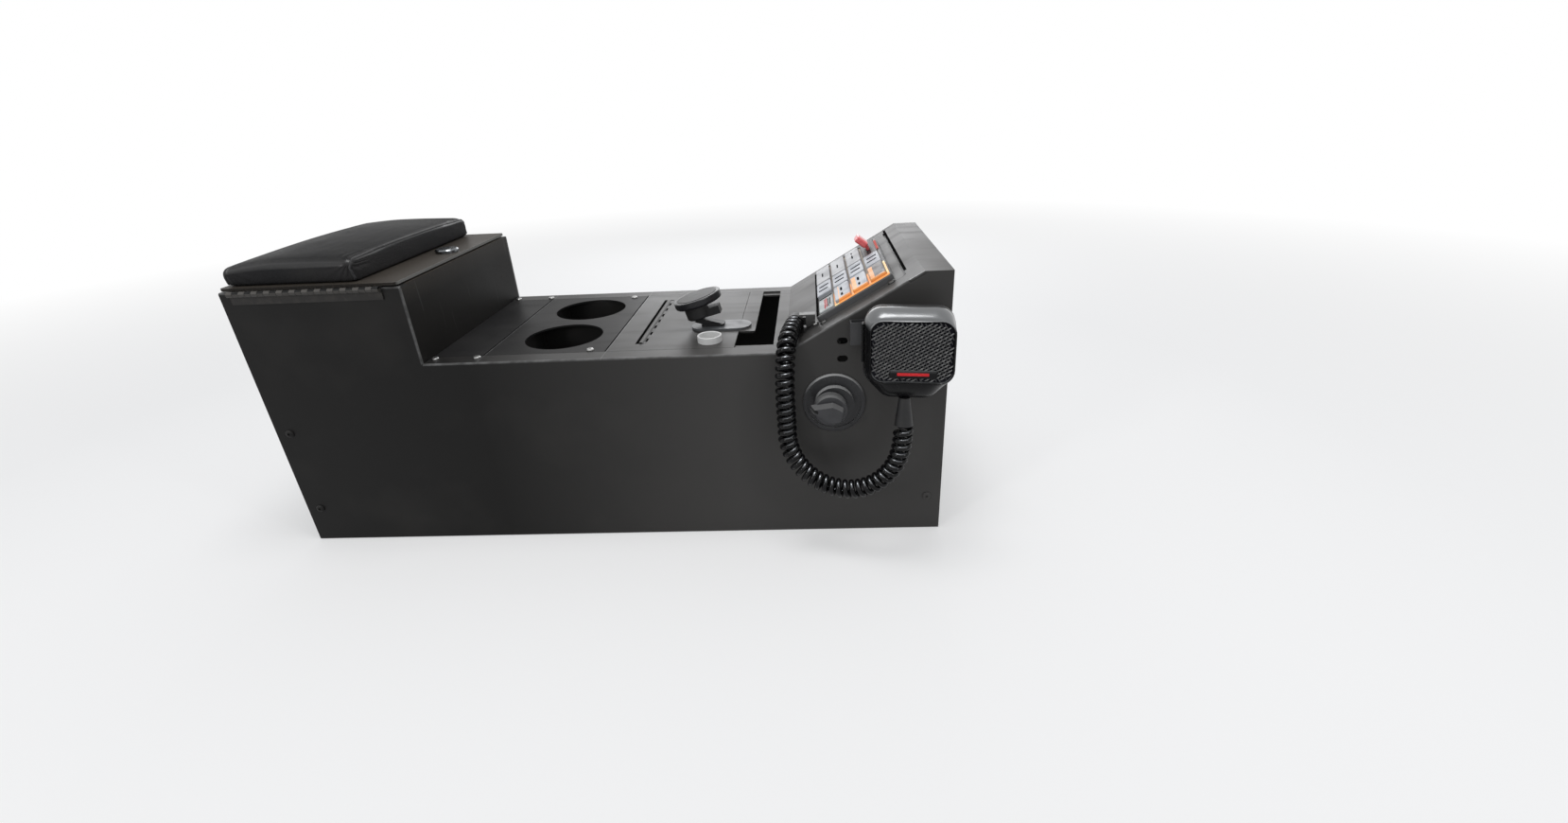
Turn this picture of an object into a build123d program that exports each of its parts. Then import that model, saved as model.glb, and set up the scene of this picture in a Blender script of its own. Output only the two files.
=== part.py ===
"""Centre equipment console of a patrol car: a folded steel shell with an armrest storage box,
a double cup holder, an open equipment bay, a sloping key panel and a hand microphone on its side.

X runs forward, Y towards the driver, Z up. The origin is the centre of the floor flanges' underside.
Sizes are in millimetres.
"""
import os
from math import atan2, cos, pi, radians, sin, tan

from build123d import *

os.makedirs("parts", exist_ok=True)

# Lengths of the top's sections, from the rear end forward
BOX_LEN = 172
TRIM_LEN = 51
CUP_LEN = 121
DECK_LEN = 126
BAY_LEN = 38
LIP_LEN = 12
SLOPE_RUN = 126
PLATEAU_LEN = 26

# The shell
WIDTH = 238
DECK_H = 200
BOX_RISE = 76
SLOPE_ANGLE = 29.8
SHEET = 2
BEND_R = 1.8
RAIL_W = 20
LEDGE_W = 10
LEDGE_LAP = 5
RIM_W = 12
FLANGE_W = 26
PLATE_GAP = 0.4
FLOOR_BOLT_END = 56
FLOOR_BOLT_IN = 14
FLOOR_BOLT_R = 4.5
PORT_LEN = 100
PORT_W = 44
PORT_Z = 70
CUT_OVER = 1

# Armrest box, lid, hinge and lock
BOX_DEPTH = 150
LID_T = 2.5
LID_END_GAP = 2
LID_CORNER_R = 4
LID_SEAT = 0.1
CUSHION_T = 23
CUSHION_SIDE_IN = 5
CUSHION_REAR_IN = 0.5
CUSHION_FRONT_IN = 42
CUSHION_CORNER_R = 12
CUSHION_EDGE_R = 7
LEAF_T = 1.4
LEAF_W = 10
KNUCKLE_R = 2.7
PIN_R = 1.2
PIN_PLAY = 0.05
KNUCKLE_PAIRS = 12
KNUCKLE_PITCH = 12
KNUCKLE_PLAY = 0.3
HINGE_REAR_IN = 11
LOCK_IN = 20
LOCK_Y = 13
LOCK_CAP_R = 12
LOCK_CAP_H = 4
LOCK_BARREL_R = 8
LOCK_BARREL_H = 18
LOCK_PLAY = 0.2
LOCK_SLOT = (7, 2, 2)
LOCK_CAM = (31, 10, 3)
LOCK_CAM_FRONT = 5

# Cup holder
CUP_R = 39.5
CUP_SPAN = 96
CUP_FORWARD = 3.5
CUP_DEPTH = 68
CUP_WALL = 1.5
CUP_ROOM = 3
MAT_T = 3
MAT_PLAY = 1
MAT_CORNER_R = 6

# Deck plates, the slot and the round socket
SLOT_FROM_SEAM = 25
SLOT_W = 11
SLOT_SPAN = 156
SLOT_OFF = -2
BRACKET_DROP = 10
BRACKET_END = 4
BAR_IN = 2.5
BAR_R = 3
BAR_PROUD = 1.2
BAR_END_GAP = 1.5
BAR_LEAF_LOW = 0.3
BAR_NOTCH = (21, 10)
FILLER_W = 17
FILLER_IN = 68
STRAP_W = 20
STRAP_LAP = 12
STRAP_IN = 3
SOCKET_FROM_EDGE = 26
SOCKET_IN = 41
SOCKET_R = 12
SOCKET_LIP = 2
SOCKET_COLLAR = (1.8, 6.5)
SOCKET_EASE = 0.6
SOCKET_BORE_R = 8
SOCKET_DEEP = 32

# Telephone mount
PHONE_FROM_EDGE = 43
PHONE_IN = 87
PHONE_BASE = (63, 30, 2)
PHONE_BASE_BACK = 8
BALL_R = 6.5
BALL_H = 15
BALL_PLAY = 0.08
NECK_R = 3.2
NECK_DROP = 7
ARM_W = 10
ARM_REACH = 25
ARM_T = 3
FOOT = (24, 14, 2.5)
COLLAR_R = 12.5
COLLAR_LOW = 4.5
COLLAR_TOP = 10
COLLAR_MOUTH_R = 9
CLAMP = (24, 13, 8.5)
CLAMP_TOP = 3.5
HEAD_FORWARD = 5
HEAD_R = 25
HEAD_T = 8
HEAD_GAP = 0.3
HEAD_TILT = 15
SPIGOT_R = 3
SPIGOT_LEN = 2

# Key panel, measured up the slope from its foot
SEAM_S = 130
SEAM_W = 2
PANEL_S = 38
PANEL_LEN = 81
PANEL_IN = 27
PANEL_W = 172
PANEL_RAISE = 6
PANEL_CORNER_R = 4
PANEL_EASE = 1
PANEL_LAP = 8
HOUSING_PLAY = 0.5
HOUSING_DEPTH = 46
HOUSING_R = 3
WINDOW_IN = 3
WINDOW_DEEP = 1.5
GLOW_T = 0.3
GLOW_PLAY = 0.2
KEY_ROWS = 4
KEY_PITCH = 19
KEY_LEN = 16.6
KEY_START = 0.8
KEY_H = 3.5
KEY_R = 2
KEY_EASE = 0.8
LABEL_H = 1
KEY_COLUMNS = {"near": (5, 46), "middle": (54, 43), "far": (100, 62)}  # first y and width from the near edge
TRACK_H = 2
TRACK_GROOVE = (4, 50, 2)
LEVER_SHARE = 0.6
LEVER_LEAN = 24
LEVER_STEM = (3.6, 10, 8)
LEVER_GRIP = (7, 17, 13)
LEVER_GRIP_R = 2

# Hand microphone, its clip and the spare clip slots
MIC_FORWARD = 111
MIC_UP = 8
MIC_YAW = 8
MIC_LEAN = 6
MIC_W = 78
MIC_H = 81
MIC_T = 30
MIC_GAP = 21
MIC_SPLIT = 0.42
MIC_CORNER_R = 16
MIC_CHIN = (19, 20)
MIC_BACK_EASE = 4
MIC_FRONT_EASE = 6
GRILLE = (69, 51.5, 10)
GRILLE_FORWARD = 3
GRILLE_UP = 4
GRILLE_DEEP = 2.4
GRILLE_PROUD = 0.4
GRILLE_PLAY = 0.2
BUTTON = (1.6, 11, 34)
BUTTON_UP = 9
BUTTON_EASE = 1.4
STUD_X = -20
STUD_UP = 13
STUD_REACH = 12
STUD_NECK_R = 3.5
STUD_HEAD_R = 7
STUD_HEAD_T = 3
CLIP_W = 66
CLIP_H = 21
CLIP_DEPTH = 10
CLIP_T = 1.5
CLIP_SLOT = 9
CLIP_BELOW = 0.5
SPARE_FORWARD = 53.4
SPARE_UP = (10, -7.5)
SPARE_SLOT = (10, 6.5)

# Pointer knob on the near side
KNOB_FORWARD = 45
KNOB_DROP = 52
KNOB_FLANGE_R = 30
KNOB_FLANGE_T = 3
KNOB_RING_W = 4
KNOB_DISH = 1.2
KNOB_COLLAR = (19, 6)
KNOB_SHAFT_R = 10.8
KNOB_PLAY = 0.2
KNOB_TAIL = 6
KNOB_HUB = (16, 9)
HUB_STEP = (-4, -1)
POINTER_TURN = 14
POINTER = (36, 19, 10)
POINTER_BACK = 6
POINTER_FORK = (12, 3.4)

# Curly cord, from its anchor on the slope over the near edge and round to the microphone,
# as steps forward, sideways and up from the slope's foot at the near edge
COIL_D = 19
CORD_ROUTE = [
    (9.5, 32, 18), (6.3, 14.5, 17.3), (2, -5.6, 12), (0, -17.7, -6.5), (-1, -20.6, -34),
    (-0.4, -21, -60), (-0.5, -22, -87.1), (13.6, -26, -112.6), (38.5, -32, -127.6), (67.5, -38.6, -127.2),
    (91.5, -43.5, -110.5), (105.6, -45.2, -83.4), (106, -42.4, -56.6)]
CORD_ARC = 0.45
LEAD_R = 4
LEAD_REACH = 6
LEAD_PLAY = 0.2
LEAD_DEEP = 6
ANCHOR_LEN = 9
ANCHOR_FOOT = (14, 14, 2.5)
RELIEF_LEN = 26
RELIEF_TIP_R = 5
RELIEF_OFF = -2
TAB_S = 23
TAB_W = 9
TAB_IN = 33
TAB_H = 27.3
TAB_T = 1.5
TAB_CLEAR = 1
TAB_RISER_CLEAR = 4.6
TAB_REACH_BACK = 6

# Worked-out places
LENGTH = BOX_LEN + TRIM_LEN + CUP_LEN + DECK_LEN + BAY_LEN + LIP_LEN + SLOPE_RUN + PLATEAU_LEN
REAR_X = -LENGTH / 2
BOX_X = REAR_X + BOX_LEN
TRIM_X = BOX_X + TRIM_LEN
CUP_X = TRIM_X + CUP_LEN
DECK_X = CUP_X + DECK_LEN
BAY_X = DECK_X + BAY_LEN
SLOPE_X = BAY_X + LIP_LEN
TOP_X = SLOPE_X + SLOPE_RUN
FRONT_X = TOP_X + PLATEAU_LEN
NEAR = -WIDTH / 2
FAR = WIDTH / 2
INNER = FAR - SHEET
RIM_Z = DECK_H + BOX_RISE
TOP_Z = DECK_H + SLOPE_RUN * tan(radians(SLOPE_ANGLE))
PLATE_HALF = FAR - RAIL_W - PLATE_GAP
UNDER_Z = DECK_H - SHEET
TOP_LINE = [(BOX_X, DECK_H), (SLOPE_X, DECK_H), (TOP_X, TOP_Z), (FRONT_X, TOP_Z)]
SLOPE = Pos(SLOPE_X, 0, DECK_H) * Rot(0, -SLOPE_ANGLE, 0)
LID_Z = RIM_Z + LEAF_T + LID_SEAT
LID_TOP = LID_Z + LID_T
HINGE_X = REAR_X + HINGE_REAR_IN
HINGE_LEN = KNUCKLE_PAIRS * KNUCKLE_PITCH
HINGE_Y = NEAR - KNUCKLE_R
HINGE_Z = LID_Z - KNUCKLE_R
LOCK_X = BOX_X - LOCK_IN
CUP_MID_X = (TRIM_X + CUP_X) / 2 + CUP_FORWARD
TRAY_HALF = PLATE_HALF - LEDGE_W - PLATE_GAP
TRAY_Z = UNDER_Z - CUP_DEPTH
SLOT_X = CUP_X + SLOT_FROM_SEAM
SOCKET_X = DECK_X - SOCKET_FROM_EDGE
SOCKET_Y = NEAR + SOCKET_IN
BALL = (DECK_X - PHONE_FROM_EDGE, NEAR + PHONE_IN, DECK_H + BALL_H)
HEAD_AXIS = Pos(*BALL) * Rot(0, -HEAD_TILT, 0)
PANEL_Y = NEAR + PANEL_IN
WINDOW_Z = PANEL_RAISE - WINDOW_DEEP
GLOW_Z = WINDOW_Z + GLOW_T
MIC = Pos(SLOPE_X + MIC_FORWARD, NEAR - MIC_GAP, DECK_H + MIC_UP) * Rot(0, 0, -MIC_YAW) * Rot(-MIC_LEAN, 0, 0)
STUD = (MIC * Pos(STUD_X, STUD_REACH, STUD_UP)).position
KNOB_X = SLOPE_X + KNOB_FORWARD
KNOB_Z = DECK_H - KNOB_DROP
CORD = [(SLOPE_X + x, NEAR + y, DECK_H + z) for x, y, z in CORD_ROUTE]
RISING = (Align.CENTER, Align.CENTER, Align.MIN)


def block(x0, x1, y0, y1, z0, z1):
    """A square-cornered block between two corners."""
    return Pos((x0 + x1) / 2, (y0 + y1) / 2, (z0 + z1) / 2) * Box(x1 - x0, y1 - y0, z1 - z0)


def slab(outline, y0, y1):
    """A plate whose outline is drawn in X and Z, standing from y0 to y1."""
    face = Plane.XZ.offset(-y0) * make_face(Polyline(*outline, close=True))
    return extrude(face, -(y1 - y0))


def disc_x(x0, y, z, r, length):
    """A round bar along X."""
    return Pos(x0, y, z) * Rot(0, 90, 0) * Cylinder(r, length, align=RISING)


def disc_y(x, z, r, y0, y1):
    """A round bar along Y."""
    return Pos(x, y0, z) * Rot(-90, 0, 0) * Cylinder(r, y1 - y0, align=RISING)


def disc_z(x, y, r, z0, z1):
    """A round bar along Z."""
    return Pos(x, y, z0) * Cylinder(r, z1 - z0, align=RISING)


def rounded(x0, x1, y0, y1, z0, z1, r):
    """A block with upright edges rounded."""
    plate = Pos((x0 + x1) / 2, (y0 + y1) / 2, z0) * RectangleRounded(x1 - x0, y1 - y0, r)
    return extrude(plate, z1 - z0)


def lowered(line, drop):
    """The top line moved square to itself by drop, with mitred corners."""
    turns = [atan2(b[1] - a[1], b[0] - a[0]) for a, b in zip(line, line[1:])]
    out = []
    for i, (x, z) in enumerate(line):
        before = turns[max(i - 1, 0)]
        after = turns[min(i, len(turns) - 1)]
        mid = (before + after) / 2
        reach = drop / cos((after - before) / 2)
        out.append((x + reach * sin(mid), z - reach * cos(mid)))
    return out


def strip(line, high, low, y0, y1):
    """A bent sheet under the top line, between two depths square to it."""
    return slab(lowered(line, high) + lowered(line, low)[::-1], y0, y1)


def on_slope(s):
    """The top line's point at a length s up the slope."""
    return (SLOPE_X + s * cos(radians(SLOPE_ANGLE)), DECK_H + s * sin(radians(SLOPE_ANGLE)))


def slope_height(x):
    """The slope's height above a place on the floor."""
    return DECK_H + (x - SLOPE_X) * tan(radians(SLOPE_ANGLE))


RAIL_LINE = [TOP_LINE[0], TOP_LINE[1], on_slope(SEAM_S)]
CAP_LINE = [on_slope(SEAM_S), *TOP_LINE[2:]]


def side_panel(side):
    """One side wall with its rail, box rim and floor flange; side is -1 near, 1 far."""
    outline = [(REAR_X, 0), (FRONT_X, 0), (FRONT_X, TOP_Z), *TOP_LINE[-2::-1], (BOX_X, RIM_Z), (REAR_X, RIM_Z)]
    wall = slab(outline, NEAR, NEAR + SHEET)
    wall += strip(RAIL_LINE, 0, SHEET, NEAR, NEAR + RAIL_W)
    wall += block(REAR_X, BOX_X, NEAR, NEAR + RIM_W, RIM_Z - SHEET, RIM_Z)
    wall += block(REAR_X, FRONT_X, NEAR, NEAR + FLANGE_W, 0, SHEET)
    wall -= strip(CAP_LINE, -SHEET, SHEET, NEAR, NEAR + SHEET)
    for x in (REAR_X + FLOOR_BOLT_END, FRONT_X - FLOOR_BOLT_END):
        wall -= disc_z(x, NEAR + FLOOR_BOLT_IN, FLOOR_BOLT_R, -CUT_OVER, SHEET + CUT_OVER)
    wall = fillet([e for e in wall.edges().filter_by(GeomType.LINE) if is_outer_bend(e)], BEND_R)
    return wall if side < 0 else mirror(wall, Plane.XZ)


def is_outer_bend(edge):
    """Whether the sheet was folded round an edge of the near wall's outer face: at the floor, deck, slope or rim."""
    mid = edge.center()
    rise = abs((edge % 0).Z)
    level = min(abs(mid.Z - z) for z in (0, DECK_H, RIM_Z))
    return abs(mid.Y - NEAR) < PIN_PLAY and rise < 0.9 and (rise > 0.1 or level < PIN_PLAY)


def slotted_near_panel():
    """The near wall, with its two spare clip slots and the knob's hole."""
    panel = side_panel(-1)
    for up in SPARE_UP:
        place = Pos(SLOPE_X + SPARE_FORWARD, DECK_H + up)
        slot = Plane.XZ.offset(FAR + CUT_OVER) * place * SlotOverall(*SPARE_SLOT)
        panel -= extrude(slot, -(SHEET + 2 * CUT_OVER))
    return panel - disc_y(KNOB_X, KNOB_Z, KNOB_SHAFT_R + KNOB_PLAY, NEAR - CUT_OVER, NEAR + SHEET + CUT_OVER)


def plate_ledge(side):
    """The strip welded under one rail that carries the plates' edges."""
    y0 = NEAR + RAIL_W - LEDGE_LAP
    y1 = NEAR + RAIL_W + LEDGE_W
    ledge = strip(RAIL_LINE, SHEET, 2 * SHEET, y0, y1)
    return ledge if side < 0 else mirror(ledge, Plane.XZ)


def rear_panel():
    """The rear end wall, with a rim flange over the box."""
    panel = block(REAR_X, REAR_X + SHEET, -INNER, INNER, SHEET, RIM_Z - SHEET)
    return panel + block(REAR_X, REAR_X + RIM_W, NEAR + RIM_W, FAR - RIM_W, RIM_Z - SHEET, RIM_Z)


def box_front_wall():
    """The wall between the armrest box and the deck, flanged back over the box."""
    low = RIM_Z - BOX_DEPTH - SHEET
    panel = block(BOX_X - SHEET, BOX_X, -INNER, INNER, low, RIM_Z - SHEET)
    return panel + block(BOX_X - RIM_W / 2, BOX_X, NEAR + RIM_W, FAR - RIM_W, RIM_Z - SHEET, RIM_Z)


def box_floor():
    """The storage box's floor, with turned-up edges against the side walls."""
    z = RIM_Z - BOX_DEPTH - SHEET
    floor = block(REAR_X + SHEET, BOX_X - SHEET, -INNER, INNER, z, z + SHEET)
    for y in (-INNER, INNER - SHEET):
        floor += block(REAR_X + SHEET, BOX_X - SHEET, y, y + SHEET, z, z + RIM_W)
    return floor


def front_panel():
    """The front end wall, with a cable port."""
    panel = block(FRONT_X - SHEET, FRONT_X, -INNER, INNER, SHEET, TOP_Z - SHEET)
    port = Plane.YZ.offset(FRONT_X - SHEET - CUT_OVER) * Pos(0, PORT_Z) * SlotOverall(PORT_LEN, PORT_W)
    return panel - extrude(port, SHEET + 2 * CUT_OVER)


def deck_sheet(x0, x1, y0=-PLATE_HALF, y1=PLATE_HALF):
    """A flat plate lying in the deck between the rails."""
    return block(x0, x1, y0, y1, UNDER_Z, DECK_H)


def rear_trim_plate():
    """The plain plate between the box and the cup holder."""
    return deck_sheet(BOX_X + PLATE_GAP, TRIM_X - PLATE_GAP)


def cup_plate():
    """The plate with two round holes side by side."""
    plate = deck_sheet(TRIM_X + PLATE_GAP, CUP_X - PLATE_GAP)
    for y in (-CUP_SPAN / 2, CUP_SPAN / 2):
        plate -= disc_z(CUP_MID_X, y, CUP_R, UNDER_Z - CUT_OVER, DECK_H + CUT_OVER)
    return plate


def cup_tray():
    """The folded tray under the cup plate, with a divider between the cups."""
    half_x = CUP_R + CUP_ROOM
    tray = block(CUP_MID_X - half_x, CUP_MID_X + half_x, -TRAY_HALF, TRAY_HALF, TRAY_Z, UNDER_Z)
    half_in = half_x - CUP_WALL
    for side in (-1, 1):
        near, far = sorted((side * CUP_WALL / 2, side * (TRAY_HALF - CUP_WALL)))
        tray -= block(CUP_MID_X - half_in, CUP_MID_X + half_in, near, far, TRAY_Z + CUP_WALL, UNDER_Z + CUT_OVER)
    return tray


def cup_mats():
    """A rubber mat on the floor of each cup."""
    half_x = CUP_R + CUP_ROOM - CUP_WALL - MAT_PLAY
    z0 = TRAY_Z + CUP_WALL
    mats = []
    for side in (-1, 1):
        ends = (side * (CUP_WALL / 2 + MAT_PLAY), side * (TRAY_HALF - CUP_WALL - MAT_PLAY))
        mats.append(rounded(CUP_MID_X - half_x, CUP_MID_X + half_x, *sorted(ends), z0, z0 + MAT_T, MAT_CORNER_R))
    return Compound(mats)


def deck_plate():
    """The flat plate ahead of the cups, with a narrow slot and the socket's hole."""
    plate = deck_sheet(CUP_X + PLATE_GAP, DECK_X)
    y0, y1 = SLOT_OFF - SLOT_SPAN / 2, SLOT_OFF + SLOT_SPAN / 2
    plate -= block(SLOT_X, SLOT_X + SLOT_W, y0, y1, UNDER_Z - CUT_OVER, DECK_H + CUT_OVER)
    return plate - disc_z(SOCKET_X, SOCKET_Y, SOCKET_R - SOCKET_LIP, UNDER_Z - CUT_OVER, DECK_H + CUT_OVER)


def slot_bracket():
    """The knuckled bar that lies in the deck slot, with its front leaf notched, hung from the plate at both ends."""
    y0, y1 = SLOT_OFF - SLOT_SPAN / 2, SLOT_OFF + SLOT_SPAN / 2
    near, far = y0 + BAR_END_GAP, y1 - BAR_END_GAP
    x = SLOT_X + BAR_IN + BAR_R
    bar_z = DECK_H + BAR_PROUD - BAR_R
    low = UNDER_Z - BRACKET_DROP
    bar = Pos(x, SLOT_OFF, bar_z) * Rot(90, 0, 0) * Cylinder(BAR_R, far - near)
    bar += block(x, SLOT_X + SLOT_W - PLATE_GAP, near, far, UNDER_Z, DECK_H - BAR_LEAF_LOW)
    pitch, notch = BAR_NOTCH
    for i in range(int((far - near) / pitch)):
        y = near + i * pitch + pitch / 4
        bar -= block(x + BAR_R, SLOT_X + SLOT_W, y, y + notch, UNDER_Z - CUT_OVER, DECK_H)
    bar += block(x - SHEET / 2, x + SHEET / 2, near, far, low, bar_z)
    bar += block(x - BAR_R, x + BAR_R, y0 - BRACKET_END, y1 + BRACKET_END, low, low + SHEET)
    for y in (y0 - BRACKET_END, y1 + BRACKET_END - SHEET):
        bar += block(x - BAR_R, x + BAR_R, y, y + SHEET, low, UNDER_Z)
    return bar


def filler_plate():
    """The narrow filler strip ahead of the deck plate, carried by a strap under both."""
    near = NEAR + FILLER_IN
    filler = deck_sheet(DECK_X + PLATE_GAP, DECK_X + FILLER_W, near, PLATE_HALF)
    corner = filler.edges().filter_by(Axis.Z).sort_by(Axis.Y)[:2].sort_by(Axis.X)[-1]
    filler = fillet(corner, BEND_R)
    return filler + block(DECK_X - STRAP_LAP, DECK_X + FILLER_W - STRAP_IN, near + STRAP_IN,
                          near + STRAP_IN + STRAP_W, UNDER_Z - SHEET, UNDER_Z)


def socket_ring():
    """The round socket's collar, standing on the deck plate."""
    wall, height = SOCKET_COLLAR
    top = DECK_H + height
    ring = disc_z(SOCKET_X, SOCKET_Y, SOCKET_R, DECK_H, top)
    ring -= disc_z(SOCKET_X, SOCKET_Y, SOCKET_R - wall, DECK_H - CUT_OVER, top + CUT_OVER)
    return fillet(ring.faces().sort_by(Axis.Z)[-1].edges(), SOCKET_EASE)


def socket_cup():
    """The socket's barrel under its lip, closed at the bottom."""
    low = DECK_H - SOCKET_DEEP
    cup = disc_z(SOCKET_X, SOCKET_Y, SOCKET_R - SOCKET_LIP - PLATE_GAP / 2, low, DECK_H)
    return cup - disc_z(SOCKET_X, SOCKET_Y, SOCKET_BORE_R, low + SHEET, DECK_H + CUT_OVER)


def slope_panel():
    """The bent plate from the bay's lip up the slope, cut out for the key panel's housing and the cord's lead."""
    line = [(BAY_X, DECK_H), TOP_LINE[1], on_slope(SEAM_S - SEAM_W)]
    panel = strip(line, 0, SHEET, -PLATE_HALF, PLATE_HALF)
    y0, y1 = PANEL_Y + PANEL_LAP, PANEL_Y + PANEL_W - PANEL_LAP
    lap = PANEL_LAP / 2
    panel -= SLOPE * block(PANEL_S + lap, PANEL_S + PANEL_LEN - lap, y0, y1, -SHEET - CUT_OVER, CUT_OVER)
    lead = lead_place()
    return panel - disc_z(lead.X, lead.Y, LEAD_R + LEAD_PLAY, UNDER_Z, lead.Z)


def top_panel():
    """The full-width cap from the seam over the plateau, with a tongue under the seam."""
    cap = strip(CAP_LINE, 0, SHEET, NEAR, FAR)
    half = PLATE_HALF - LEDGE_W - PLATE_GAP
    return cap + strip([on_slope(SEAM_S - LEDGE_W), on_slope(SEAM_S + LEDGE_W)], SHEET, 2 * SHEET, -half, half)


def panel_housing():
    """The key panel's closed case under the slope."""
    end = PANEL_LAP / 2 + HOUSING_PLAY
    side = PANEL_LAP + HOUSING_PLAY
    return SLOPE * rounded(PANEL_S + end, PANEL_S + PANEL_LEN - end, PANEL_Y + side, PANEL_Y + PANEL_W - side,
                           -HOUSING_DEPTH, 0, HOUSING_R)


def window(z0, z1, play=0):
    """The space of the key panel's window between two heights."""
    gap = WINDOW_IN + play
    return block(PANEL_S + gap, PANEL_S + PANEL_LEN - gap, PANEL_Y + gap, PANEL_Y + PANEL_W - gap, z0, z1)


def panel_face():
    """The raised face, with a shallow window for the keys."""
    face = rounded(PANEL_S, PANEL_S + PANEL_LEN, PANEL_Y, PANEL_Y + PANEL_W, 0, PANEL_RAISE, PANEL_CORNER_R)
    face = chamfer(face.faces().sort_by(Axis.Z)[-1].edges(), PANEL_EASE)
    return SLOPE * (face - window(WINDOW_Z, PANEL_RAISE + CUT_OVER))


def backlight():
    """The lit sheet under the keys."""
    return SLOPE * window(WINDOW_Z, GLOW_Z, GLOW_PLAY)


def key_cell(row, column, top):
    """One key with a rounded outline and eased top, in the row counted up the slope, to a height over the face."""
    first, width = KEY_COLUMNS[column]
    s0 = PANEL_S + WINDOW_IN + KEY_START + row * KEY_PITCH
    y0 = PANEL_Y + first
    cell = rounded(s0, s0 + KEY_LEN, y0, y0 + width, GLOW_Z, PANEL_RAISE + top, KEY_R)
    return chamfer(cell.faces().sort_by(Axis.Z)[-1].edges(), min(KEY_EASE, KEY_R / 2))


def white_keys():
    """The light keys: four in the middle column, three far and two near."""
    cells = [("middle", row) for row in range(KEY_ROWS)]
    cells += [("far", row) for row in range(KEY_ROWS - 1)]
    cells += [("near", row) for row in range(1, KEY_ROWS - 1)]
    return SLOPE * Compound([key_cell(row, column, KEY_H) for column, row in cells])


def slide_mid():
    """The middle of the slide switch's carrier, up the slope and across."""
    first, width = KEY_COLUMNS["far"]
    s0 = PANEL_S + WINDOW_IN + KEY_START + (KEY_ROWS - 1) * KEY_PITCH
    return s0 + KEY_LEN / 2, PANEL_Y + first + width / 2


def slide_track():
    """The slide switch's dark carrier, in the top row beyond the middle column, with its groove."""
    s, y = slide_mid()
    groove_w, groove_len, deep = TRACK_GROOVE
    groove = Pos(s, y, PANEL_RAISE + TRACK_H - deep) * Box(groove_w, groove_len, deep + CUT_OVER, align=RISING)
    return SLOPE * (key_cell(KEY_ROWS - 1, "far", TRACK_H) - groove)


def slide_lever():
    """The slide switch's leaning lever, seated in the carrier's groove."""
    s, y = slide_mid()
    y += (LEVER_SHARE - 0.5) * KEY_COLUMNS["far"][1]
    seat = PANEL_RAISE + TRACK_H - TRACK_GROOVE[2]
    stem_w, stem_len, stem_h = LEVER_STEM
    grip_w, grip_len, grip_h = LEVER_GRIP
    stem = Pos(s, y, seat) * Box(stem_w, stem_len, stem_h, align=RISING)
    lean = Pos(s, y, seat + stem_h - LEVER_GRIP_R) * Rot(0, -LEVER_LEAN, 0)
    grip = lean * extrude(RectangleRounded(grip_w, grip_len, LEVER_GRIP_R), grip_h)
    grip = fillet(grip.faces().sort_by(Axis.Z)[-1].edges(), LEVER_GRIP_R / 2)
    return SLOPE * (stem + grip)


def lid_plate():
    """The steel lid over the box, hinged along its near edge."""
    lid = rounded(REAR_X + LID_END_GAP, BOX_X - LID_END_GAP, NEAR, FAR - LID_END_GAP / 2,
                  LID_Z, LID_TOP, LID_CORNER_R)
    return lid - disc_z(LOCK_X, LOCK_Y, LOCK_BARREL_R + LOCK_PLAY, LID_Z - CUT_OVER, LID_TOP + CUT_OVER)


def cushion():
    """The armrest pad, a crowned block with eased edges."""
    x0 = REAR_X + LID_END_GAP + CUSHION_REAR_IN
    pad = rounded(x0, BOX_X - CUSHION_FRONT_IN, NEAR + CUSHION_SIDE_IN, FAR - CUSHION_SIDE_IN,
                  LID_TOP, LID_TOP + CUSHION_T, CUSHION_CORNER_R)
    return fillet(pad.faces().sort_by(Axis.Z)[-1].edges(), min(CUSHION_EDGE_R, CUSHION_CORNER_R / 2))


def lid_lock():
    """The key lock through the lid: a domed cap, a barrel and a cam turned clear of the rim."""
    cap = disc_z(LOCK_X, LOCK_Y, LOCK_CAP_R, LID_TOP, LID_TOP + LOCK_CAP_H)
    cap = chamfer(cap.faces().sort_by(Axis.Z)[-1].edges(), LOCK_CAP_H / 3)
    slot_len, slot_w, slot_deep = LOCK_SLOT
    keyway = Box(slot_len, slot_w, slot_deep + CUT_OVER, align=RISING)
    cap -= Pos(LOCK_X, LOCK_Y, LID_TOP + LOCK_CAP_H - slot_deep) * keyway
    low = LID_TOP - LOCK_BARREL_H
    cam_len, cam_w, cam_t = LOCK_CAM
    front = LOCK_X + LOCK_CAM_FRONT
    cam = rounded(front - cam_len, front, LOCK_Y - cam_w / 2, LOCK_Y + cam_w / 2, low - cam_t, low, 0.4 * cam_w)
    return cap + disc_z(LOCK_X, LOCK_Y, LOCK_BARREL_R, low, LID_TOP) + cam


def knuckle_places(first):
    """Where every other knuckle of the hinge's barrel starts, from the first."""
    return [HINGE_X + i * KNUCKLE_PITCH / 2 + KNUCKLE_PLAY / 2 for i in range(first, 2 * KNUCKLE_PAIRS, 2)]


def knuckle_barrel(leaf, first, bore):
    """A leaf wrapped round the pin at every other knuckle, from the first."""
    length = KNUCKLE_PITCH / 2 - KNUCKLE_PLAY
    for x in knuckle_places(first):
        leaf += disc_x(x, HINGE_Y, HINGE_Z, KNUCKLE_R, length)
    return leaf - disc_x(HINGE_X, HINGE_Y, HINGE_Z, bore, HINGE_LEN)


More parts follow.
